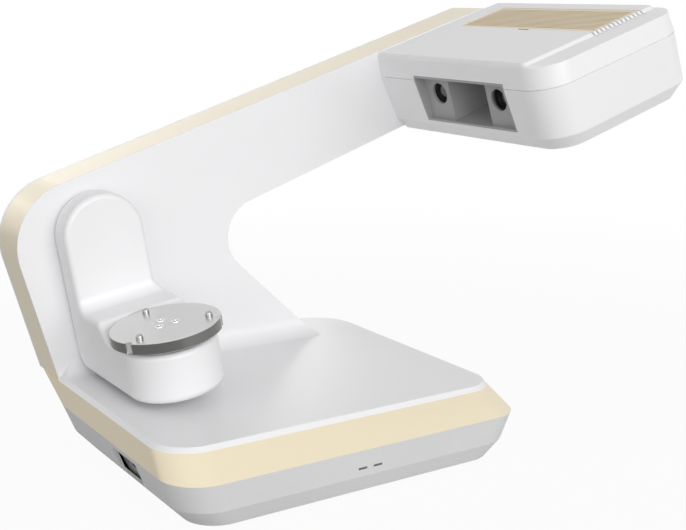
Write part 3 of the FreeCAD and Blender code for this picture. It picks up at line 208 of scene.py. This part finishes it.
class ScannerStage(bpy.types.PropertyGroup):
    """Camera, floor and studio light"""
    camera_place: bpy.props.FloatVectorProperty(
        name="Camera place", description="Where the camera stands", unit="LENGTH",
        subtype="TRANSLATION", default=(-0.468396, -0.705400, 0.310930))
    camera_heading: bpy.props.FloatProperty(
        name="Camera heading", description="Turn of the camera to the right of straight ahead",
        subtype="ANGLE", default=math.radians(33.04))
    camera_dip: bpy.props.FloatProperty(
        name="Camera dip", description="Tilt of the camera below level", subtype="ANGLE",
        default=math.radians(12.69))
    floor_size: bpy.props.FloatProperty(
        name="Floor size", description="Side of the square floor", unit="LENGTH",
        default=12.0, min=1.0)
    floor_fade: bpy.props.FloatProperty(
        name="Floor fade", unit="LENGTH",
        description="Radius at which the floor has faded into the white backdrop",
        default=1.1, min=0.3)
    key_power: bpy.props.FloatProperty(
        name="Key light", description="Power of the front soft box", default=26.0, min=0.0)
    top_power: bpy.props.FloatProperty(
        name="Top light", description="Power of the overhead soft box", default=1.0, min=0.0)
    side_power: bpy.props.FloatProperty(
        name="Side light", description="Power of the soft box on the left", default=5.5, min=0.0)
    strip_power: bpy.props.FloatProperty(
        name="Strip light", description="Power of the narrow upright light beside the camera",
        default=0.8, min=0.0)
    rear_power: bpy.props.FloatProperty(
        name="Rear light", description="Power of the soft box behind the scanner",
        default=9.0, min=0.0)
    world_level: bpy.props.FloatProperty(
        name="Surrounding light", description="Brightness of the studio walls",
        default=0.46, min=0.0)


# ---------------------------------------------------------------- materials

def new_group(name, inputs, outputs):
    """A shader node group with named inputs (name, default) and float or colour outputs."""
    group = bpy.data.node_groups.new(name, "ShaderNodeTree")
    for label, default in inputs:
        kind = "NodeSocketVector" if label == "Vector" else (
            "NodeSocketColor" if isinstance(default, tuple) else "NodeSocketFloat")
        socket = group.interface.new_socket(label, in_out="INPUT", socket_type=kind)
        if label != "Vector":
            socket.default_value = default
    for label, kind in outputs:
        group.interface.new_socket(label, in_out="OUTPUT", socket_type=kind)
    return group, group.nodes.new("NodeGroupInput"), group.nodes.new("NodeGroupOutput")


def math_node(tree, operation, first, second):
    """A sum or a comparison of two values, each a number or another node's output."""
    node = tree.nodes.new("ShaderNodeMath")
    node.operation = operation
    for socket, value in zip(node.inputs, (first, second)):
        if isinstance(value, (int, float)):
            socket.default_value = value
        else:
            tree.links.new(value, socket)
    return node.outputs[0]


def noise_node(tree, vector, scale, detail=2.0):
    """Smooth noise whose scale is a number or another node's output."""
    node = tree.nodes.new("ShaderNodeTexNoise")
    node.inputs["Detail"].default_value = detail
    tree.links.new(vector, node.inputs["Vector"])
    if isinstance(scale, (int, float)):
        node.inputs["Scale"].default_value = scale
    else:
        tree.links.new(scale, node.inputs["Scale"])
    return node.outputs["Fac"]


def mix_colours(tree, factor, first, second):
    """A blend of two colours, each written out or another node's output."""
    mix = tree.nodes.new("ShaderNodeMix")
    mix.data_type = "RGBA"
    tree.links.new(factor, mix.inputs["Factor"])
    for label, colour in (("A", first), ("B", second)):
        if isinstance(colour, tuple):
            mix.inputs[label].default_value = (*colour, 1.0)
        else:
            tree.links.new(colour, mix.inputs[label])
    return mix.outputs["Result"]


def put_out_roughness(group, source, target, noise):
    """Put out the group's roughness, moved up and down by the noise times the spread."""
    swing = math_node(group, "SUBTRACT", noise, 0.5)
    offset = math_node(group, "MULTIPLY", swing, source.outputs["Spread"])
    rough = math_node(group, "ADD", source.outputs["Roughness"], offset)
    group.links.new(rough, target.inputs["Roughness"])


def moulded_grain_group():
    """Fine moulded grain, with slow patches of slightly different gloss."""
    group, source, target = new_group(
        "moulded grain",
        [("Vector", None), ("Scale", 1500.0), ("Roughness", 0.4), ("Spread", 0.08)],
        [("Roughness", "NodeSocketFloat"), ("Height", "NodeSocketFloat"),
         ("Tone", "NodeSocketFloat")])
    fine = noise_node(group, source.outputs["Vector"], source.outputs["Scale"], detail=3.0)
    slow = noise_node(group, source.outputs["Vector"], PATCH_SCALE)
    put_out_roughness(group, source, target, slow)
    group.links.new(fine, target.inputs["Height"])
    group.links.new(slow, target.inputs["Tone"])
    return group


def turned_rings_group():
    """Concentric tool marks of a turned face, about the local Z axis of the vector."""
    group, source, target = new_group(
        "turned rings",
        [("Vector", None), ("Pitch", 5200.0), ("Roughness", 0.3), ("Spread", 0.1), ("Rim", 1.0)],
        [("Roughness", "NodeSocketFloat"), ("Height", "NodeSocketFloat"),
         ("Edge", "NodeSocketFloat")])
    split = group.nodes.new("ShaderNodeSeparateXYZ")
    group.links.new(source.outputs["Vector"], split.inputs[0])
    squares = [math_node(group, "MULTIPLY", way, way) for way in split.outputs[:2]]
    radius = math_node(group, "SQRT", math_node(group, "ADD", *squares), 0.0)
    join = group.nodes.new("ShaderNodeCombineXYZ")
    group.links.new(radius, join.inputs[0])
    group.links.new(split.outputs[2], join.inputs[1])
    rings = noise_node(group, join.outputs[0], source.outputs["Pitch"], detail=1.0)
    put_out_roughness(group, source, target, rings)
    group.links.new(rings, target.inputs["Height"])
    # Mask of the rim beyond a radius, where the steel is painted darker as painted dark reflection
    edge = math_node(group, "GREATER_THAN", radius, source.outputs["Rim"])
    group.links.new(edge, target.inputs["Edge"])
    return group


def brushed_lines_group():
    """Straight brushing along the vector's X axis."""
    group, source, target = new_group(
        "brushed lines",
        [("Vector", None), ("Pitch", 1800.0), ("Roughness", 0.35), ("Spread", 0.12)],
        [("Roughness", "NodeSocketFloat"), ("Height", "NodeSocketFloat")])
    stretch = group.nodes.new("ShaderNodeMapping")
    stretch.inputs["Scale"].default_value = (BRUSH_STRETCH, 1.0, 1.0)
    group.links.new(source.outputs["Vector"], stretch.inputs["Vector"])
    lines = noise_node(group, stretch.outputs[0], source.outputs["Pitch"])
    put_out_roughness(group, source, target, lines)
    group.links.new(lines, target.inputs["Height"])
    return group


def metal_flake_group():
    """Tiny bright flakes under a lacquer: a colour that varies from base to flake."""
    group, source, target = new_group(
        "metal flake", [("Vector", None), ("Scale", 9000.0), ("Base", (0.7, 0.6, 0.4, 1.0)),
                        ("Flake", (0.9, 0.8, 0.6, 1.0)), ("Amount", 0.4)],
        [("Color", "NodeSocketColor"), ("Height", "NodeSocketFloat")])
    cells = group.nodes.new("ShaderNodeTexVoronoi")
    group.links.new(source.outputs["Vector"], cells.inputs["Vector"])
    group.links.new(source.outputs["Scale"], cells.inputs["Scale"])
    tone = group.nodes.new("ShaderNodeSeparateColor")
    group.links.new(cells.outputs["Color"], tone.inputs[0])
    share = math_node(group, "MULTIPLY", tone.outputs[0], source.outputs["Amount"])
    colour = mix_colours(group, share, source.outputs["Base"], source.outputs["Flake"])
    group.links.new(colour, target.inputs["Color"])
    group.links.new(tone.outputs[1], target.inputs["Height"])
    return group


GROUPS = {}


def group_node(tree, key, **values):
    """Place a shared group and feed it object coordinates and its own values."""
    makers = {"grain": moulded_grain_group, "rings": turned_rings_group,
              "lines": brushed_lines_group, "flake": metal_flake_group}
    if key not in GROUPS:
        GROUPS[key] = makers[key]()
    node = tree.nodes.new("ShaderNodeGroup")
    node.node_tree = GROUPS[key]
    for label, value in values.items():
        node.inputs[label].default_value = value
    return node


def object_vector(tree, centre=(0, 0, 0), tilt=0.0):
    """Object coordinates, moved to a centre and leaned back about Y."""
    place = tree.nodes.new("ShaderNodeTexCoord")
    shift = tree.nodes.new("ShaderNodeVectorMath")
    shift.operation = "SUBTRACT"
    shift.inputs[1].default_value = centre
    tree.links.new(place.outputs["Object"], shift.inputs[0])
    turn = tree.nodes.new("ShaderNodeVectorRotate")
    turn.rotation_type = "Y_AXIS"
    turn.inputs["Angle"].default_value = tilt
    tree.links.new(shift.outputs[0], turn.inputs["Vector"])
    return turn.outputs[0]


def new_material(name, colour, roughness, metallic=0.0, coat=0.0):
    """A material with its node tree and its main shader, already plainly coloured."""
    material = bpy.data.materials.new(name)
    material.use_nodes = True
    shader = material.node_tree.nodes["Principled BSDF"]
    shader.inputs["Base Color"].default_value = (*colour, 1.0)
    shader.inputs["Roughness"].default_value = roughness
    shader.inputs["Metallic"].default_value = metallic
    shader.inputs["Coat Weight"].default_value = coat
    material.diffuse_color = (*colour, 1.0)
    return material, material.node_tree, shader


def add_bump(tree, shader, height, distance, strength=0.5):
    """Roughen a shader's normals by a height."""
    bump = tree.nodes.new("ShaderNodeBump")
    bump.inputs["Distance"].default_value = distance
    bump.inputs["Strength"].default_value = strength
    tree.links.new(height, bump.inputs["Height"])
    tree.links.new(bump.outputs[0], shader.inputs["Normal"])


def tone_colour(tree, shader, tone, colour, depth):
    """Let a slow tone lighten and darken the base colour a little."""
    darker = tuple(part * (1 - depth) for part in colour)
    lighter = tuple(min(1.0, part * (1 + depth)) for part in colour)
    tree.links.new(mix_colours(tree, tone, darker, lighter), shader.inputs["Base Color"])


def moulded(name, colour, roughness, grain, depth=0.00002, spread=0.1, tone=0.015, coat=0.0):
    """Moulded plastic with fine grain and slightly uneven gloss."""
    material, tree, shader = new_material(name, colour, roughness, coat=coat)
    shader.inputs["Coat Roughness"].default_value = COAT_ROUGHNESS
    node = group_node(tree, "grain", Scale=1.0 / grain, Roughness=roughness, Spread=spread)
    tree.links.new(object_vector(tree), node.inputs["Vector"])
    tree.links.new(node.outputs["Roughness"], shader.inputs["Roughness"])
    tone_colour(tree, shader, node.outputs["Tone"], colour, tone)
    add_bump(tree, shader, node.outputs["Height"], depth)
    return material


def lacquered(name, colour, roughness, metallic, amount):
    """Champagne lacquer: fine flakes below a soft clear coat."""
    material, tree, shader = new_material(name, colour, roughness, metallic, coat=0.25)
    shader.inputs["Coat Roughness"].default_value = COAT_ROUGHNESS
    node = group_node(tree, "flake", Base=(*[part * FLAKE_BASE for part in colour], 1.0),
                      Flake=(*[min(1.0, part * FLAKE_LIFT) for part in colour], 1.0),
                      Amount=amount)
    tree.links.new(object_vector(tree), node.inputs["Vector"])
    tree.links.new(node.outputs["Color"], shader.inputs["Base Color"])
    add_bump(tree, shader, node.outputs["Height"], 0.000006)
    return material


def turned_metal(name, colour, painted_dark_rim_colour, roughness, centre, tilt, painted_dark_rim):
    """A disc turned on a lathe about a tilted axis, with a bare face and a rim painted darker as painted dark
    reflection.
    """
    material, tree, shader = new_material(name, colour, roughness, metallic=1.0)
    node = group_node(tree, "rings", Roughness=roughness, Spread=0.06, Rim=painted_dark_rim)
    tree.links.new(object_vector(tree, centre, tilt), node.inputs["Vector"])
    tree.links.new(node.outputs["Roughness"], shader.inputs["Roughness"])
    # Painted dark reflection: the rim takes the darker colour
    blend = mix_colours(tree, node.outputs["Edge"], tuple(colour), tuple(painted_dark_rim_colour))
    tree.links.new(blend, shader.inputs["Base Color"])
    add_bump(tree, shader, node.outputs["Height"], 0.000004)
    return material


def brushed_metal(name, colour, roughness, spread=0.14):
    """Metal with fine straight brushing."""
    material, tree, shader = new_material(name, colour, roughness, metallic=1.0)
    node = group_node(tree, "lines", Roughness=roughness, Spread=spread)
    tree.links.new(object_vector(tree), node.inputs["Vector"])
    tree.links.new(node.outputs["Roughness"], shader.inputs["Roughness"])
    add_bump(tree, shader, node.outputs["Height"], 0.00001)
    return material


def board_material():
    """Green solder mask with faint tracks."""
    colour = (0.03, 0.16, 0.08)
    material, tree, shader = new_material("circuit board", colour, 0.35, coat=0.4)
    tracks = tree.nodes.new("ShaderNodeTexBrick")
    tracks.inputs["Scale"].default_value = TRACK_SCALE
    tracks.inputs["Color1"].default_value = (*colour, 1.0)
    tracks.inputs["Color2"].default_value = (0.02, 0.12, 0.06, 1.0)
    tracks.inputs["Mortar"].default_value = (0.10, 0.28, 0.13, 1.0)
    tree.links.new(object_vector(tree), tracks.inputs["Vector"])
    tree.links.new(tracks.outputs["Color"], shader.inputs["Base Color"])
    return material


def glass_material():
    """Dark coated lens glass."""
    material, tree, shader = new_material("lens glass", (0.02, 0.02, 0.035), 0.04, coat=1.0)
    shader.inputs["Transmission Weight"].default_value = 0.35
    shader.inputs["IOR"].default_value = 1.6
    shader.inputs["Coat Roughness"].default_value = 0.03
    return material


def finish_materials(finish):
    """One material for each finish named in the record."""
    disc = node_middle("turntable_disc")
    lean = math.asin(-JOINTS["table_spin"]["axis"][0])
    grain = finish.grain_size
    return {
        "white_shell": moulded("satin white", finish.white, finish.shell_roughness, grain,
                               coat=0.25),
        "tray_plastic": moulded("tray grey", finish.tray, 0.45, grain, tone=0.02),
        "gold_trim": lacquered("champagne lacquer", finish.champagne, 0.30, 0.25, 0.4),
        "grille_gold": lacquered("grille lacquer", finish.grille, 0.42, 0.2, 0.4),
        "grey_bezel": moulded("bezel grey", finish.bezel, 0.55, grain, depth=0.00004),
        "dark_plastic": moulded("mid grey", (0.23, 0.23, 0.225), 0.5, grain, depth=0.00004),
        "black_plastic": moulded("matte black", (0.012, 0.012, 0.013), 0.45, grain, depth=0.00003),
        "port_metal": brushed_metal("plated sheet", (0.60, 0.60, 0.60), 0.3),
        "light_guide": moulded("smoked light guide", (0.09, 0.10, 0.11), 0.25, grain, coat=0.5),
        "foot_rubber": moulded("foot rubber", (0.025, 0.025, 0.027), 0.8, 0.0012, depth=0.00008),
        "steel_sheet": brushed_metal("zinc-plated sheet", (0.52, 0.53, 0.55), 0.38),
        "shaft_steel": brushed_metal("ground shaft", (0.74, 0.75, 0.76), 0.20),
        "disc_steel": turned_metal("turned steel", finish.steel, finish.painted_dark_rim, 0.30, disc, lean,
                                   DISC_PAINTED_DARK_RIM),
        # The polished steel's own colour, set darker as painted dark reflection
        "chrome": brushed_metal("polished steel", (0.40, 0.40, 0.41), 0.10, spread=0.04),
        "alloy": brushed_metal("milled alloy", (0.70, 0.71, 0.72), 0.34),
        "brass_gear": brushed_metal("machined brass", (0.62, 0.45, 0.16), 0.28),
        "gear_nylon": moulded("natural nylon", (0.74, 0.72, 0.64), 0.42, grain),
        "circuit_board": board_material(),
        "lens_glass": glass_material(),
    }


# ---------------------------------------------------------------- operators

class OBJECT_OT_scanner_finish(bpy.types.Operator):
    """Give every part of the scanner the finish that the record names"""
    bl_idname = "object.scanner_finish"
    bl_label = "Finish the parts"

    def execute(self, context):
        materials = finish_materials(context.scene.scanner_finish)
        for entry in RECORD["subparts"]:
            part = NODES[entry["node"]]
            part.data.materials.clear()
            part.data.materials.append(materials[entry["material_slot"]])
        return {"FINISHED"}


def finish_of(slot):
    """The material that the part's own nodes wear in this slot."""
    node = next(entry["node"] for entry in RECORD["subparts"] if entry["material_slot"] == slot)
    return NODES[node].data.materials[0]


def seat(place, axis, across=(0.0, 1.0, 0.0)):
    """The frame of a piece: its Z along the axis, its Y across it, its origin at the place."""
    up = Vector(axis).normalized()
    side = Vector(across).cross(up).normalized()
    turn = Matrix((side, up.cross(side), up)).transposed()
    return Matrix.Translation(place) @ turn.to_4x4()


def landing(node, start, direction):
    """Where a straight line from the start first meets a node, and the surface's own direction."""
    met, place, facing, _ = NODES[node].ray_cast(Vector(start), Vector(direction).normalized())
    if not met:
        raise RuntimeError("nothing of %s lies on that line" % node)
    return place, facing


def set_loop(verts, radius, height, flats=0):
    """Set one loop of a turned piece to its radius, or to a socket with that many flats."""
    for vert in verts:
        turn = math.atan2(vert.co.y, vert.co.x)
        reach = radius
        if flats:
            step = 2 * math.pi / flats
            reach = radius / math.cos(turn % step - step / 2)
        vert.co = Vector((reach * math.cos(turn), reach * math.sin(turn), height))


def turned(shape, loops, closed=False):
    """Grow a turned piece about Z from loops of (radius, height) or (radius, height, flats)."""
    verts = bmesh.ops.create_circle(shape, segments=TURN_STEPS, radius=loops[0][0])["verts"]
    grown = list(verts)
    edges = list({edge for vert in verts for edge in vert.link_edges})
    first = edges
    set_loop(verts, *loops[0])
    for loop in loops[1:]:
        made = bmesh.ops.extrude_edge_only(shape, edges=edges)["geom"]
        verts = [item for item in made if isinstance(item, bmesh.types.BMVert)]
        edges = [item for item in made if isinstance(item, bmesh.types.BMEdge)
                 and all(vert in verts for vert in item.verts)]
        grown += verts
        set_loop(verts, *loop)
    if closed:
        bmesh.ops.bridge_loops(shape, edges=first + edges)
    else:
        bmesh.ops.holes_fill(shape, edges=first + edges, sides=0)
    return grown


def from_shares(shares, radius, rise):
    """Loops of a turned piece, from shares of a radius and of a rise."""
    return [(across * radius, up * rise, *flats) for across, up, *flats in shares]


def block(shape, size, place, edge):
    """A small block with bevelled edges."""
    verts = bmesh.ops.create_cube(shape, size=1.0)["verts"]
    spread = Matrix.Translation(place) @ Matrix.Diagonal((*size, 1.0))
    bmesh.ops.transform(shape, matrix=spread, verts=verts)
    edges = list({item for vert in verts for item in vert.link_edges})
    bmesh.ops.bevel(shape, geom=edges, offset=edge, segments=2, profile=0.5, affect="EDGES",
                    material=-1)


def socket_head(shape, radius, place):
    """A low round screw head with a six-sided socket, on its seat."""
    loops = from_shares(HEAD_LOOPS, radius, radius * HEAD_RISE_SHARE)
    bmesh.ops.transform(shape, matrix=place, verts=turned(shape, loops))


def add_piece(name, shape, body, slot):
    """Make a finished shape a piece of the scanner that rides on a body."""
    bmesh.ops.remove_doubles(shape, verts=shape.verts, dist=1e-7)
    bmesh.ops.recalc_face_normals(shape, faces=shape.faces)
    mesh = bpy.data.meshes.new(name)
    shape.to_mesh(mesh)
    shape.free()
    mesh.shade_smooth()
    mesh.set_sharp_from_angle(angle=SHARP_TURN)
    mesh.materials.append(finish_of(slot))
    piece = bpy.data.objects.new(name, mesh)
    bpy.context.collection.objects.link(piece)
    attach(piece, body)
    return piece


class OBJECT_OT_table_screws(bpy.types.Operator):
    """Set the three countersunk screws that hold the turntable's disc"""
    bl_idname = "object.table_screws"
    bl_label = "Turntable screws"

    def execute(self, context):
        radius = context.scene.scanner_fasteners.table_screw
        top = MOUNTS["disc_top"]
        face = seat(top["pos_m"], top["axis"])
        shape = bmesh.new()
        for index in range(3):
            turn = TABLE_SCREW_TURN + index * math.radians(120)
            spot = Vector((math.cos(turn), math.sin(turn), 0.0)) * TABLE_SCREW_REACH
            bottom = (0.5 * radius, -TABLE_SCREW_SINK)
            floor = (0.5 * radius, -TABLE_SCREW_SINK * SOCKET_DEPTH_SHARE, SOCKET_FLATS)
            loops = [bottom, *from_shares(TABLE_SCREW_LOOPS, radius, radius), floor]
            place = face @ Matrix.Translation(spot)
            bmesh.ops.transform(shape, matrix=place, verts=turned(shape, loops))
        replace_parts(add_piece("turntable_screws", shape, "turntable", "shaft_steel"), "disc_screws")
        return {"FINISHED"}


class OBJECT_OT_cover_screws(bpy.types.Operator):
    """Set the screws that hold the rear cover, the tray, the scan head and the arm's floor"""
    bl_idname = "object.cover_screws"
    bl_label = "Cover screws"

    def execute(self, context):
        radius = context.scene.scanner_fasteners.cover_screw
        covers = (
            ("rear_cover_screws", "back_shell", "scanner_body", radius, REAR_SPOTS, (0, -1, 0)),
            ("tray_screws", "base_pan", "scanner_body", radius, TRAY_SPOTS, (0, 0, 1)),
            ("head_screws", "head_lower", "scanner_body", radius * HEAD_SCREW_SHARE, HEAD_SPOTS,
             JOINTS["fan_spin"]["axis"]),
            ("arm_floor_screws", "arm_cover", "swing_arm", radius * ARM_SCREW_SHARE, ARM_SPOTS,
             JOINTS["table_spin"]["axis"]),
        )
        for cover in covers:
            self.screw_down(*cover)
        return {"FINISHED"}

    def screw_down(self, name, node, body, radius, spots, inward):
        """One screw at each spot, a share of the node's box, driven along a line into it."""
        low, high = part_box(node)
        shape = bmesh.new()
        for spot in spots:
            start = Vector([a + (b - a) * share for a, b, share in zip(low, high, spot)])
            inside = Vector(inward)
            place, facing = landing(node, start - inside * (high - low).length, inside)
            socket_head(shape, radius, seat(place, facing, (1.0, 0.0, 0.0)))
        add_piece(name, shape, body, "shaft_steel")


class OBJECT_OT_camera_glass(bpy.types.Operator):
    """Set the domed front glass and the retaining ring of each camera"""
    bl_idname = "object.camera_glass"
    bl_label = "Camera glass"

    def execute(self, context):
        for side in ("left", "right"):
            lens = NODES["lens_" + side].data
            facing = max(lens.polygons, key=lambda face: face.area).normal.copy()
            if facing.x > 0:
                facing.negate()
            front = max(lens.vertices, key=lambda vert: vert.co.dot(facing)).co
            middle = node_middle("lens_" + side)
            place = seat(middle + facing * (front - middle).dot(facing), facing)
            parts = (("front_glass_", DOME_LOOPS, False, "lens_glass"),
                     ("retaining_ring_", RING_LOOPS, True, "black_plastic"))
            for name, shares, closed, slot in parts:
                shape = bmesh.new()
                verts = turned(shape, from_shares(shares, GLASS_RADIUS, GLASS_RISE), closed)
                bmesh.ops.transform(shape, matrix=place, verts=verts)
                add_piece(name + side, shape, "scanner_body", slot)
        return {"FINISHED"}


class OBJECT_OT_socket_details(bpy.types.Operator):
    """Set the contacts of the data socket and the on and off marks of the power rocker"""
    bl_idname = "object.socket_details"
    bl_label = "Socket details"

    def execute(self, context):
        self.set_contacts()
        self.mark_rocker(context.scene.scanner_fasteners.mark_height)
        return {"FINISHED"}

    def set_contacts(self):
        """Four gilt strips, two on each side of the socket's tongue."""
        socket = MOUNTS["data_socket"]
        face = seat(socket["pos_m"], socket["axis"])
        size = (CONTACT_THICK, CONTACT_WIDE, CONTACT_LONG)
        shape = bmesh.new()
        for across in (-1, 1):
            for side in (-1, 1):
                place = (side * (TONGUE_HALF + CONTACT_THICK / 2), across * CONTACT_PITCH / 2,
                         -CONTACT_LONG)
                block(shape, size, place, CONTACT_THICK / 4)
        bmesh.ops.transform(shape, matrix=face, verts=shape.verts)
        add_piece("socket_contacts", shape, "scanner_body", "brass_gear")

    def mark_rocker(self, height):
        """A bar for on and a ring for off, each lying on its end of the rocker."""
        axis = Vector(MOUNTS["data_socket"]["axis"])
        middle = node_middle("power_rocker")
        along = Vector((0.0, 1.0, 0.0)).cross(axis).normalized()
        wall = height * MARK_WALL_SHARE
        shape = bmesh.new()
        for side in (-1, 1):
            start = middle + along * side * MARK_REACH + axis * MARK_START
            place, facing = landing("power_rocker", start, -axis)
            placed = set(shape.verts)
            if side > 0:
                block(shape, (height, wall, MARK_RISE * 2), (0, 0, 0), MARK_RISE / 2)
            else:
                outer, inner = height / 2, height / 2 - wall
                turned(shape, [(outer, -MARK_RISE), (outer, MARK_RISE), (inner, MARK_RISE),
                               (inner, -MARK_RISE)], closed=True)
            fresh = [vert for vert in shape.verts if vert not in placed]
            bmesh.ops.transform(shape, matrix=seat(place, facing), verts=fresh)
        add_piece("rocker_marks", shape, "power_switch", "white_shell")


def area_light(name, place, target, size, power):
    """A soft box that stands at a place and looks at a target."""
    data = bpy.data.lights.new(name, "AREA")
    data.shape = "RECTANGLE"
    data.size, data.size_y = size
    data.energy = power
    lamp = bpy.data.objects.new(name, data)
    lamp.location = place
    lamp.rotation_euler = (Vector(target) - Vector(place)).to_track_quat("-Z", "Y").to_euler()
    bpy.context.collection.objects.link(lamp)


def seen_directly(tree):
    """1 where the camera, a mirror or clear glass looks, 0 for light that falls on the object."""
    path = tree.nodes.new("ShaderNodeLightPath")
    return math_node(tree, "MAXIMUM", path.outputs["Is Camera Ray"],
                     math_node(tree, "MAXIMUM", path.outputs["Is Glossy Ray"],
                               path.outputs["Is Transmission Ray"]))


class OBJECT_OT_scanner_stage(bpy.types.Operator):
    """Set the floor, the soft studio light and the camera"""
    bl_idname = "object.scanner_stage"
    bl_label = "Set the stage"

    def execute(self, context):
        stage = context.scene.scanner_stage
        self.lay_floor(stage)
        self.light_studio(context.scene, stage)
        self.place_camera(context.scene, stage)
        context.scene.view_settings.view_transform = "Standard"
        return {"FINISHED"}

    def lay_floor(self, stage):
        """A pale floor that keeps the object's shadow and fades into the white backdrop."""
        mesh = bpy.data.meshes.new("studio_floor")
        shape = bmesh.new()
        bmesh.ops.create_grid(shape, x_segments=2, y_segments=2, size=stage.floor_size / 2)
        shape.to_mesh(mesh)
        shape.free()
        floor = bpy.data.objects.new("studio_floor", mesh)
        bpy.context.collection.objects.link(floor)
        material, tree, shader = new_material("studio floor", (FLOOR_PALE,) * 3, 0.9)
        shader.inputs["Specular IOR Level"].default_value = 0.0
        place = tree.nodes.new("ShaderNodeTexCoord")
        reach = tree.nodes.new("ShaderNodeVectorMath")
        reach.operation = "LENGTH"
        tree.links.new(place.outputs["Object"], reach.inputs[0])
        fade = tree.nodes.new("ShaderNodeMapRange")
        fade.interpolation_type = "SMOOTHSTEP"
        fade.inputs["From Min"].default_value = stage.floor_fade * FADE_START_SHARE
        fade.inputs["From Max"].default_value = stage.floor_fade
        fade.inputs["To Min"].default_value = FLOOR_GLOW
        tree.links.new(reach.outputs["Value"], fade.inputs["Value"])
        glow = tree.nodes.new("ShaderNodeEmission")
        # The glow's strength carries the painted dark reflection that mirrors see
        tree.links.new(self.flag(tree, place.outputs["Object"]), glow.inputs["Strength"])
        blend = tree.nodes.new("ShaderNodeMixShader")
        tree.links.new(math_node(tree, "MULTIPLY", seen_directly(tree), fade.outputs["Result"]),
                       blend.inputs["Fac"])
        tree.links.new(shader.outputs[0], blend.inputs[1])
        tree.links.new(glow.outputs[0], blend.inputs[2])
        tree.links.new(blend.outputs[0], tree.nodes["Material Output"].inputs["Surface"])
        floor.data.materials.append(material)

    def flag(self, tree, place):
        """White, and for mirrors painted darker to the left: a painted dark reflection in place of a studio's
        black flag, which does not stand there.
        """
        split = tree.nodes.new("ShaderNodeSeparateXYZ")
        tree.links.new(place, split.inputs[0])
        ramp = tree.nodes.new("ShaderNodeMapRange")
        ramp.interpolation_type = "SMOOTHSTEP"
        ramp.inputs["From Min"].default_value = PAINTED_REFLECTION_EDGE[0]
        ramp.inputs["From Max"].default_value = PAINTED_REFLECTION_EDGE[1]
        ramp.inputs["To Min"].default_value = 1.0 - PAINTED_REFLECTION_LEVEL
        ramp.inputs["To Max"].default_value = 0.0
        tree.links.new(split.outputs[0], ramp.inputs["Value"])
        path = tree.nodes.new("ShaderNodeLightPath")
        loss = math_node(tree, "MULTIPLY", ramp.outputs["Result"], path.outputs["Is Glossy Ray"])
        return math_node(tree, "SUBTRACT", 1.0, loss)

    def light_studio(self, scene, stage):
        """White backdrop, dimmer studio walls, and the lamps."""
        world = bpy.data.worlds.new("studio")
        scene.world = world
        world.use_nodes = True
        tree = world.node_tree
        background = tree.nodes["Background"]
        background.inputs["Color"].default_value = (1.0, 1.0, 1.0, 1.0)
        lift = math_node(tree, "MULTIPLY", seen_directly(tree), 1.0 - stage.world_level)
        strength = math_node(tree, "ADD", lift, stage.world_level)
        tree.links.new(strength, background.inputs["Strength"])
        for name, power, place, target, size in LAMPS:
            area_light(name, place, target, size, getattr(stage, power))

    def place_camera(self, scene, stage):
        """The camera that took the photograph."""
        data = bpy.data.cameras.new("camera")
        data.sensor_width = SENSOR_WIDTH
        data.lens = FOCAL_PIXELS / IMAGE_WIDTH * SENSOR_WIDTH
        camera = bpy.data.objects.new("camera", data)
        camera.location = stage.camera_place
        camera.rotation_euler = (math.radians(90) - stage.camera_dip, 0.0, -stage.camera_heading)
        bpy.context.collection.objects.link(camera)
        scene.camera = camera


class VIEW3D_PT_scanner(bpy.types.Panel):
    """Sizes, colours and steps of the scanner"""
    bl_idname = "VIEW3D_PT_scanner"
    bl_label = "Scanner"
    bl_space_type = "VIEW_3D"
    bl_region_type = "UI"
    bl_category = "Scanner"

    def draw(self, context):
        scene = context.scene
        for settings in (scene.scanner_finish, scene.scanner_fasteners, scene.scanner_stage):
            for name in settings.__annotations__:
                self.layout.prop(settings, name)
        for operator in STEPS:
            self.layout.operator(operator.bl_idname)


STEPS = (OBJECT_OT_scanner_finish, OBJECT_OT_table_screws, OBJECT_OT_cover_screws,
         OBJECT_OT_camera_glass, OBJECT_OT_socket_details, OBJECT_OT_scanner_stage)
CLASSES = (ScannerFinish, ScannerFasteners, ScannerStage) + STEPS + (VIEW3D_PT_scanner,)


def register():
    """Make the settings, the steps and the panel known."""
    for item in CLASSES:
        bpy.utils.register_class(item)
    bpy.types.Scene.scanner_finish = bpy.props.PointerProperty(type=ScannerFinish)
    bpy.types.Scene.scanner_fasteners = bpy.props.PointerProperty(type=ScannerFasteners)
    bpy.types.Scene.scanner_stage = bpy.props.PointerProperty(type=ScannerStage)


def unregister():
    """Take the settings, the steps and the panel away again."""
    del bpy.types.Scene.scanner_finish
    del bpy.types.Scene.scanner_fasteners
    del bpy.types.Scene.scanner_stage
    for item in reversed(CLASSES):
        bpy.utils.unregister_class(item)


def main():
    """Run every step in order."""
    register()
    bpy.ops.object.scanner_finish()
    bpy.ops.object.table_screws()
    bpy.ops.object.cover_screws()
    bpy.ops.object.camera_glass()
    bpy.ops.object.socket_details()
    bpy.ops.object.scanner_stage()


if __name__ == "__main__":
    main()
